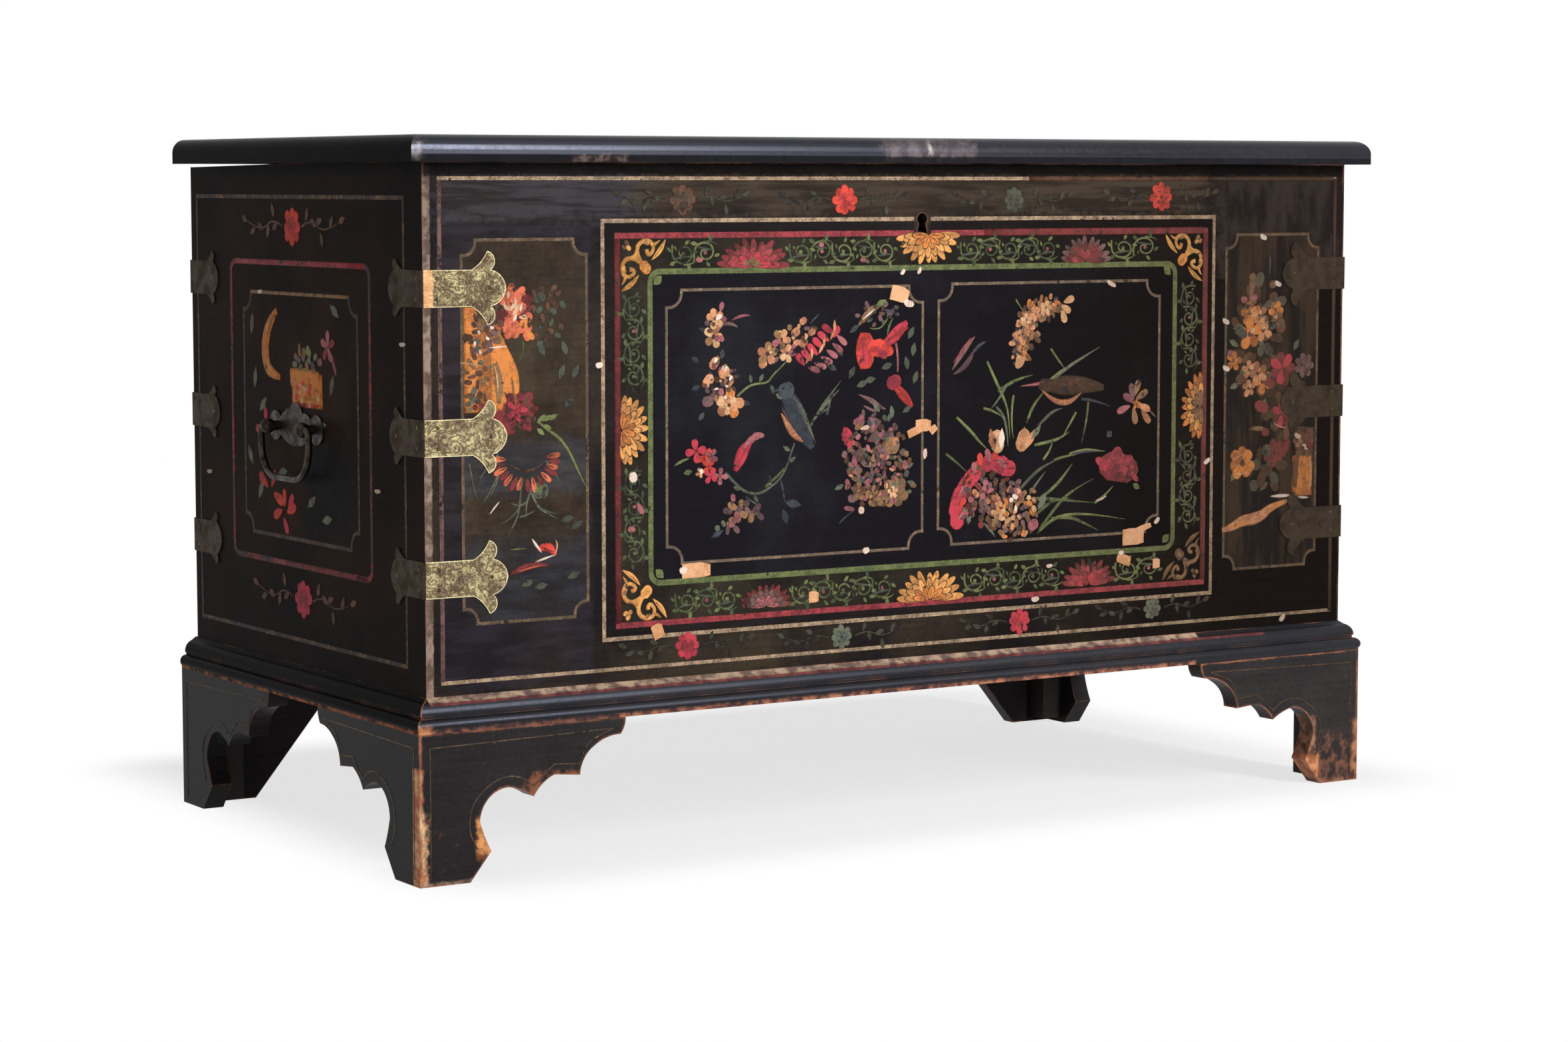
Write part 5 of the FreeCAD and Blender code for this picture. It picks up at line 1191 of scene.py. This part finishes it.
stroke("apricot", "line", 1.8, (-466, 437), (-455, 436), (-446, 434), layer=6)
stroke("cream", "leaf", 4, (-439, 449), (-431, 449), (-422, 450), layer=7)
for x, z in ((-452, 453), (-447, 446), (-440, 457), (-436, 466), (-448, 462)):
    stamp("cream", "chip", x, z, 4.5, 3.5, 5 * x, 8)
cluster(("coral", "deepRed", "coral", "coral"), -415, 479, 30, 40, 30, 11, layer=3)
cluster(("coral", "orange"), -404, 464, 11, 20, 6, 10, layer=6)
cluster(("mauve", "umber", "coral"), -429, 474, 16, 28, 9, 8, layer=2)
for x, z, turn in ((-421, 489, 80), (-418, 479, 70), (-413, 483, 95), (-409, 478, 80), (-423, 480, 100),
                   (-416, 470, 60)):
    stamp("cream", "leaf", x, z, 8, 2.6, turn, 7)
for k in range(9):
    stamp("coral" if k % 2 else "apricot", "petal", -414 + 3 * math.cos(k), 474 + 1.5 * k, 9, 6, 40 * k, 6)
cluster(("umber", "shadowGreen", "umber"), -384, 488, 34, 26, 14, 8, layer=0)
cluster(("umber", "shadowGreen"), -384, 462, 30, 26, 9, 7, layer=0)
stroke("leafGreen", "stem", 1.8, (-407, 455), (-404, 446), (-410, 438))
for k in range(9):
    stamp("deepRed", "petal", -410, 396, 19 if k % 2 else 15, 13, 40 * k + 10)
    if k < 5:
        stamp("crimson", "petal", -413, 396, 11, 7, 72 * k, 4)
stamp("deepRed", "disc", -412, 394, 34, 32, 0, 1)
stamp("deepRed", "disc", -424, 386, 30, 26, 0, 1)
cluster(("deepRed", "umber"), -408, 392, 30, 26, 12, 8, layer=3)
stroke("leafGreen", "blade", 3.4, (-393, 386), (-385, 379), (-373, 372), (-363, 360), (-356, 346),
       (-350, 334), (-345, 326))
for x, z, turn, size in ((-394, 384, 40, 12), (-392, 386, 15, 16), (-390, 382, -15, 12),
                         (-394, 380, -40, 10), (-384, 386, 25, 13)):
    stamp("leafGreen", "leaf", x, z, size, 4.4, turn, 3)
for k in range(15):
    turn = 170 + 14.5 * k
    px, pz = -404 + 19 * math.cos(math.radians(turn)), 352 + 13 * math.sin(math.radians(turn))
    stamp("deepRed" if k % 2 else "coral", "petal", px, pz, 13 + k % 3, 7, turn + wobble(8), 2 + k % 2)
    stamp("umber", "leaf", px, pz, 10, 1.4, turn, 4)
stroke("umber", "leaf", 5, (-420, 350), (-404, 338), (-388, 350))
stamp("greyGreen", "disc", -391, 327, 18, 17, 0)
stamp("leafGreen", "petal", -397, 327, 14, 9, 10, 3)
stamp("shadowGreen", "petal", -390, 322, 10, 7, 60, 4)
for points in (((-433, 366), (-430, 350), (-431, 335), (-440, 322)), ((-458, 352), (-456, 338), (-451, 322)),
               ((-436, 362), (-441, 345), (-452, 336)), ((-430, 345), (-436, 330), (-446, 318)),
               ((-409, 335), (-410, 318), (-414, 300), (-424, 288)),
               ((-402, 332), (-397, 318), (-388, 308), (-374, 302)), ((-404, 318), (-410, 312), (-420, 318)),
               ((-392, 312), (-384, 308), (-374, 306)), ((-411, 305), (-404, 306), (-396, 310)),
               ((-412, 312), (-420, 302), (-430, 300)), ((-400, 326), (-406, 316), (-404, 304)),
               ((-386, 352), (-376, 344), (-372, 332))):
    stroke("greyGreen", "blade", 2.8, *points)
stroke("cream", "leaf", 3.4, (-439, 309), (-435, 314), (-430, 319))
stroke("leafGreen", "leaf", 3, (-420, 278), (-412, 278), (-404, 278))
stroke("deepRed", "body", 8, (-420, 257), (-410, 261), (-398, 264), (-384, 263))
stroke("coral", "leaf", 4, (-414, 258), (-402, 262), (-388, 263), layer=3)
stroke("vermilion", "body", 10, (-394, 277), (-387, 279), (-380, 277), (-376, 271))
stroke("deepRed", "leaf", 5, (-392, 280), (-386, 276), (-378, 274), layer=3)
stroke("cream", "leaf", 5, (-399, 286), (-395, 280), (-390, 274), layer=4)
stroke("cream", "leaf", 3.8, (-396, 266), (-389, 268), (-378, 271), layer=4)
stroke("apricot", "leaf", 3.4, (-376, 284), (-373, 278), (-378, 270), layer=4)
for x, z, turn in ((-360, 420, 60), (-370, 395, 40), (-385, 440, 120), (-372, 300, 10), (-362, 292, 30),
                   (-410, 246, 20), (-398, 244, 10), (-372, 420, 70), (-364, 440, 110), (-440, 240, 160),
                   (-366, 250, 20)):
    stamp("shadowGreen", "leaf", x, z, 15, 6, turn, 1)
paintArea("leftSide", "front")

# Right side panel: orange flowers, a red peony, an orange vase and a fluttering ribbon.
stroke("tan", "body", 20, (385, 500), (388, 490), (388, 476), (384, 468))
for x, z, size, colour in ((384, 442, 16, "orange"), (400, 445, 12, "peach"), (383, 462, 12, "orange"),
                           (395, 460, 10, "peach"), (415, 465, 10, "orange"), (417, 455, 10, "tan"),
                           (364, 417, 10, "orange"), (394, 404, 12, "peach"), (400, 396, 13, "orange"),
                           (383, 408, 9, "peach"), (383, 390, 9, "peach")):
    blossom(colour, x, z, size, heart="umber", turn=x)
    stamp("apricot", "petal", x, z, size * 0.5, size * 0.35, 2 * x, 4)
for x, z in ((376, 475), (360, 424), (388, 477)):
    stamp("rose", "disc", x, z, 9, 8, 0)
for x, z in ((418, 490), (355, 410), (354, 455), (445, 342), (455, 331), (399, 535)):
    stamp("cream", "chip", x, z, 10, 7, -30, 6)
stamp("tan", "disc", 411, 489, 9, 9, 0, 5)
for k in range(7):
    stamp("crimson" if k % 2 else "deepRed", "petal", 425, 408, 17, 13, 51 * k)
    stamp("mauve", "petal", 452, 410, 13, 10, 51 * k)
    stamp("crimson" if k % 2 else "deepRed", "petal", 425, 363, 14, 11, 51 * k)
    stamp("deepRed", "petal", 416, 326, 15, 12, 51 * k)
stroke("apricot", "leaf", 2.5, (414, 356), (420, 351), (430, 350), layer=4)
stroke("umber", "line", 27, (453, 316), (453, 330), (455, 350))
stroke("orange", "line", 29, (451, 283), (451, 300), (452, 322), layer=2)
stroke("umber", "body", 15, (443, 292), (442, 308), (446, 328), layer=4)
stroke("peach", "leaf", 8, (461, 288), (463, 304), (461, 322), layer=4)
cluster(("umber", "tan", "deepRed"), 452, 334, 24, 24, 12, 7, layer=4)
cluster(("umber", "soot", "shadowGreen"), 396, 440, 66, 110, 34, 15, layer=0)
cluster(("soot", "umber", "deepRed"), 425, 372, 60, 80, 24, 15, layer=0)
cluster(("soot", "shadowGreen"), 400, 310, 60, 40, 12, 15, layer=0)
stroke("tan", "leaf", 10, (384, 350), (396, 352), (408, 348))
blossom("orange", 376, 318, 17, heart="umber", petals=7)
stroke("apricot", "leaf", 3.5, (364, 321), (372, 326), (384, 328), layer=4)
stroke("apricot", "leaf", 3.5, (366, 308), (374, 307), (382, 309), layer=4)
stroke("peach", "body", 14, (352, 254), (364, 256), (376, 262), (390, 263), (402, 266), (412, 274),
       (434, 279))
stroke("orange", "leaf", 8, (356, 257), (372, 258), (388, 262), layer=3)
stroke("orange", "leaf", 9, (404, 268), (414, 274), (430, 279), layer=3)
stroke("cream", "leaf", 7, (412, 284), (424, 284), (440, 284), layer=3)
stroke("cream", "leaf", 5, (446, 282), (452, 281), (460, 281), layer=3)
stroke("slate", "leaf", 5, (407, 520), (409, 508), (406, 498))
for x, z, turn in ((370, 430, 150), (376, 450, 190), (410, 436, 20), (438, 424, 60), (404, 380, 250),
                   (372, 395, 200), (398, 425, 90), (432, 384, 240), (362, 300, 60), (398, 290, 40)):
    stamp("greyGreen", "leaf", x, z, 14, 6, turn, 1)
paintArea("rightSide", "front")

# Both ends carry the same picture; the middle of the end is x 0.
for wall in ("left", "right"):
    panel(wall + "EndGround", wall, grounds["end"], (-112, 125, 270, 488), 0, corner=16, notched=True)
    panel(wall + "EndOuterLine", wall, paints["endGold"], (-218, 217, 178, 576), 1, line=3.6)
    panel(wall + "EndRedLine", wall, paints["endRed"], (-142, 152, 244, 518), 1, corner=12, line=5)
    panel(wall + "EndGoldLine", wall, paints["endGold"], (-114, 127, 268, 490), 1, corner=16, notched=True,
          line=3.4)
rosette("vermilion", "crimson", -5, 548, 18)
rosette("crimson", "deepRed", 10, 217, 18)
for x, z in ((-5, 548), (10, 217)):
    for side in (1, -1):
        spray("umber", 2.2, (x + 20 * side, z), (x + 40 * side, z + 8), (x + 65 * side, z - 6),
              (x + 95 * side, z + 4), leaves=((0.15, 50), (0.3, -50), (0.45, 45), (0.6, -50), (0.8, 40),
                                              (1.0, 0)), leafLength=15)
stroke("orange", "body", 19, (-40, 473), (-56, 462), (-66, 445), (-66, 428), (-56, 416), (-34, 413))
stroke("apricot", "leaf", 6, (-66, 434), (-62, 422), (-48, 417), layer=3)
stroke("tan", "leaf", 8, (-44, 470), (-56, 458), (-62, 446), layer=3)
stroke("orange", "line", 34, (-8, 404), (20, 403), (54, 404))
stroke("orange", "line", 18, (-12, 414), (20, 417), (46, 413), layer=2)
stroke("apricot", "leaf", 9, (-2, 406), (12, 410), (26, 404), layer=3)
stroke("vermilion", "leaf", 9, (-4, 392), (20, 389), (48, 392), layer=3)
cluster(("vermilion", "apricot", "orange"), 22, 402, 50, 24, 14, 7, layer=4)
cluster(("greyGreen", "mauve", "tan", "leafGreen"), 22, 430, 60, 22, 16, 10)
stroke("tan", "line", 3.4, (-96, 488.3), (10, 488.3), (108, 488.3))
stroke("lotusRed", "line", 5, (-128, 515.5), (0, 515.5), (139, 515.5))
stroke("deepRed", "line", 4, (-50, 246.5), (40, 246.5), (139, 246.5))
for k in range(5):
    stamp(("deepRed", "rose"), "petal", 66, 444, 15, 10, 20 + 70 * k)
stroke("rose", "body", 9, (70, 440), (78, 430), (82, 420))
for x, z, turn, size in ((-62, 312, 150, 24), (-56, 312, 60, 20), (-52, 308, -20, 24), (-32, 294, 200, 22),
                         (-24, 292, 20, 22), (-28, 296, 90, 18)):
    stamp("vermilion", "petal", x, z, size, size * 0.6, turn)
for x, z, turn in ((-30, 288, -60), (-20, 296, 50), (-64, 368, 100), (-72, 360, 160)):
    stamp("crimson", "petal", x, z, 18, 11, turn, 3)
for x, z, turn in ((-90, 400, 80), (-80, 380, 40), (-30, 378, 20), (40, 372, 10), (-20, 330, 190),
                   (20, 300, 30), (70, 400, 70), (-95, 330, 120), (-84, 300, 60), (90, 470, 150),
                   (-92, 470, 260), (50, 290, 10)):
    stamp("greyGreen", "leaf", x, z, 22, 8, turn, 1)
for x, z in ((-75, 489), (212, 452), (-195, 318), (162, 325)):
    stamp("cream", "chip", x, z, 12, 5, 0, 5)
paintArea("end", "left", "right")

# A thin gold line follows the scalloped outline of every bracket: across from the corner, up from the floor.
footLine = ((10, 6), (10, 117), (10, 117), (100, 118.5), (186, 120), (186, 120), (170, 114), (160, 110),
            (152, 92), (152, 92), (128, 94), (128, 94), (108, 77), (108, 77), (96, 86), (80, 88), (62, 80),
            (49, 66), (46, 50), (48, 37), (54, 28))
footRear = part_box("rear_left_foot_side_bracket")[1].y / mm
sideX, frontFootY = footCorner.x / mm, footCorner.y / mm
for wall, corners in (("feetFront", ((sideX, 1), (-sideX, -1))),
                      ("feetLeft", ((-frontFootY, -1), (-footRear, 1))),
                      ("feetRight", ((frontFootY, 1), (footRear, -1)))):
    for corner, sign in corners:
        stroke("footGold", "line", 1.3, *[(corner + sign * across, up) for across, up in footLine])
    paintArea("lines", wall)

# Where the film is lost: peach wood and pale gesso show.
for x, z, length, width, turn in ((-237, 250, 31, 14, 0), (-276, 199, 12, 14, 20), (-115, 219, 11, 11, 0),
                                  (-23, 487, 21, 15, -15), (-6, 363, 18, 8, 20), (3, 368, 18, 12, 0),
                                  (14, 364, 9, 7, 40), (244, 254, 27, 17, 0), (233, 233, 10, 18, 70),
                                  (272, 227, 9, 10, 0), (257, 262, 18, 6, 15)):
    stamp("gesso", "flake", x, z, length, width, turn, 7)
for x, z, length, width, turn in ((-250, 251, 9, 9, 0), (-13, 479, 13, 9, -20), (5, 343, 5, 13, 0),
                                  (-59, 258, 8, 8, 0), (-333, 432, 8, 7, 0), (216, 493, 13, 6, -30),
                                  (230, 240, 7, 6, 0), (272, 268, 9, 6, 40), (332, 322, 10, 6, 30),
                                  (130, 202, 10, 7, 0), (428, 165, 10, 7, 40), (-2, 508, 8, 5, 60),
                                  (146, 232, 8, 5, 0), (-20, 507, 7, 5, 40)):
    stamp("cream", "chip", x, z, length, width, turn, 8)
paintArea("chips", "front")

for shape in stamps.values():
    bpy.data.objects.remove(shape)
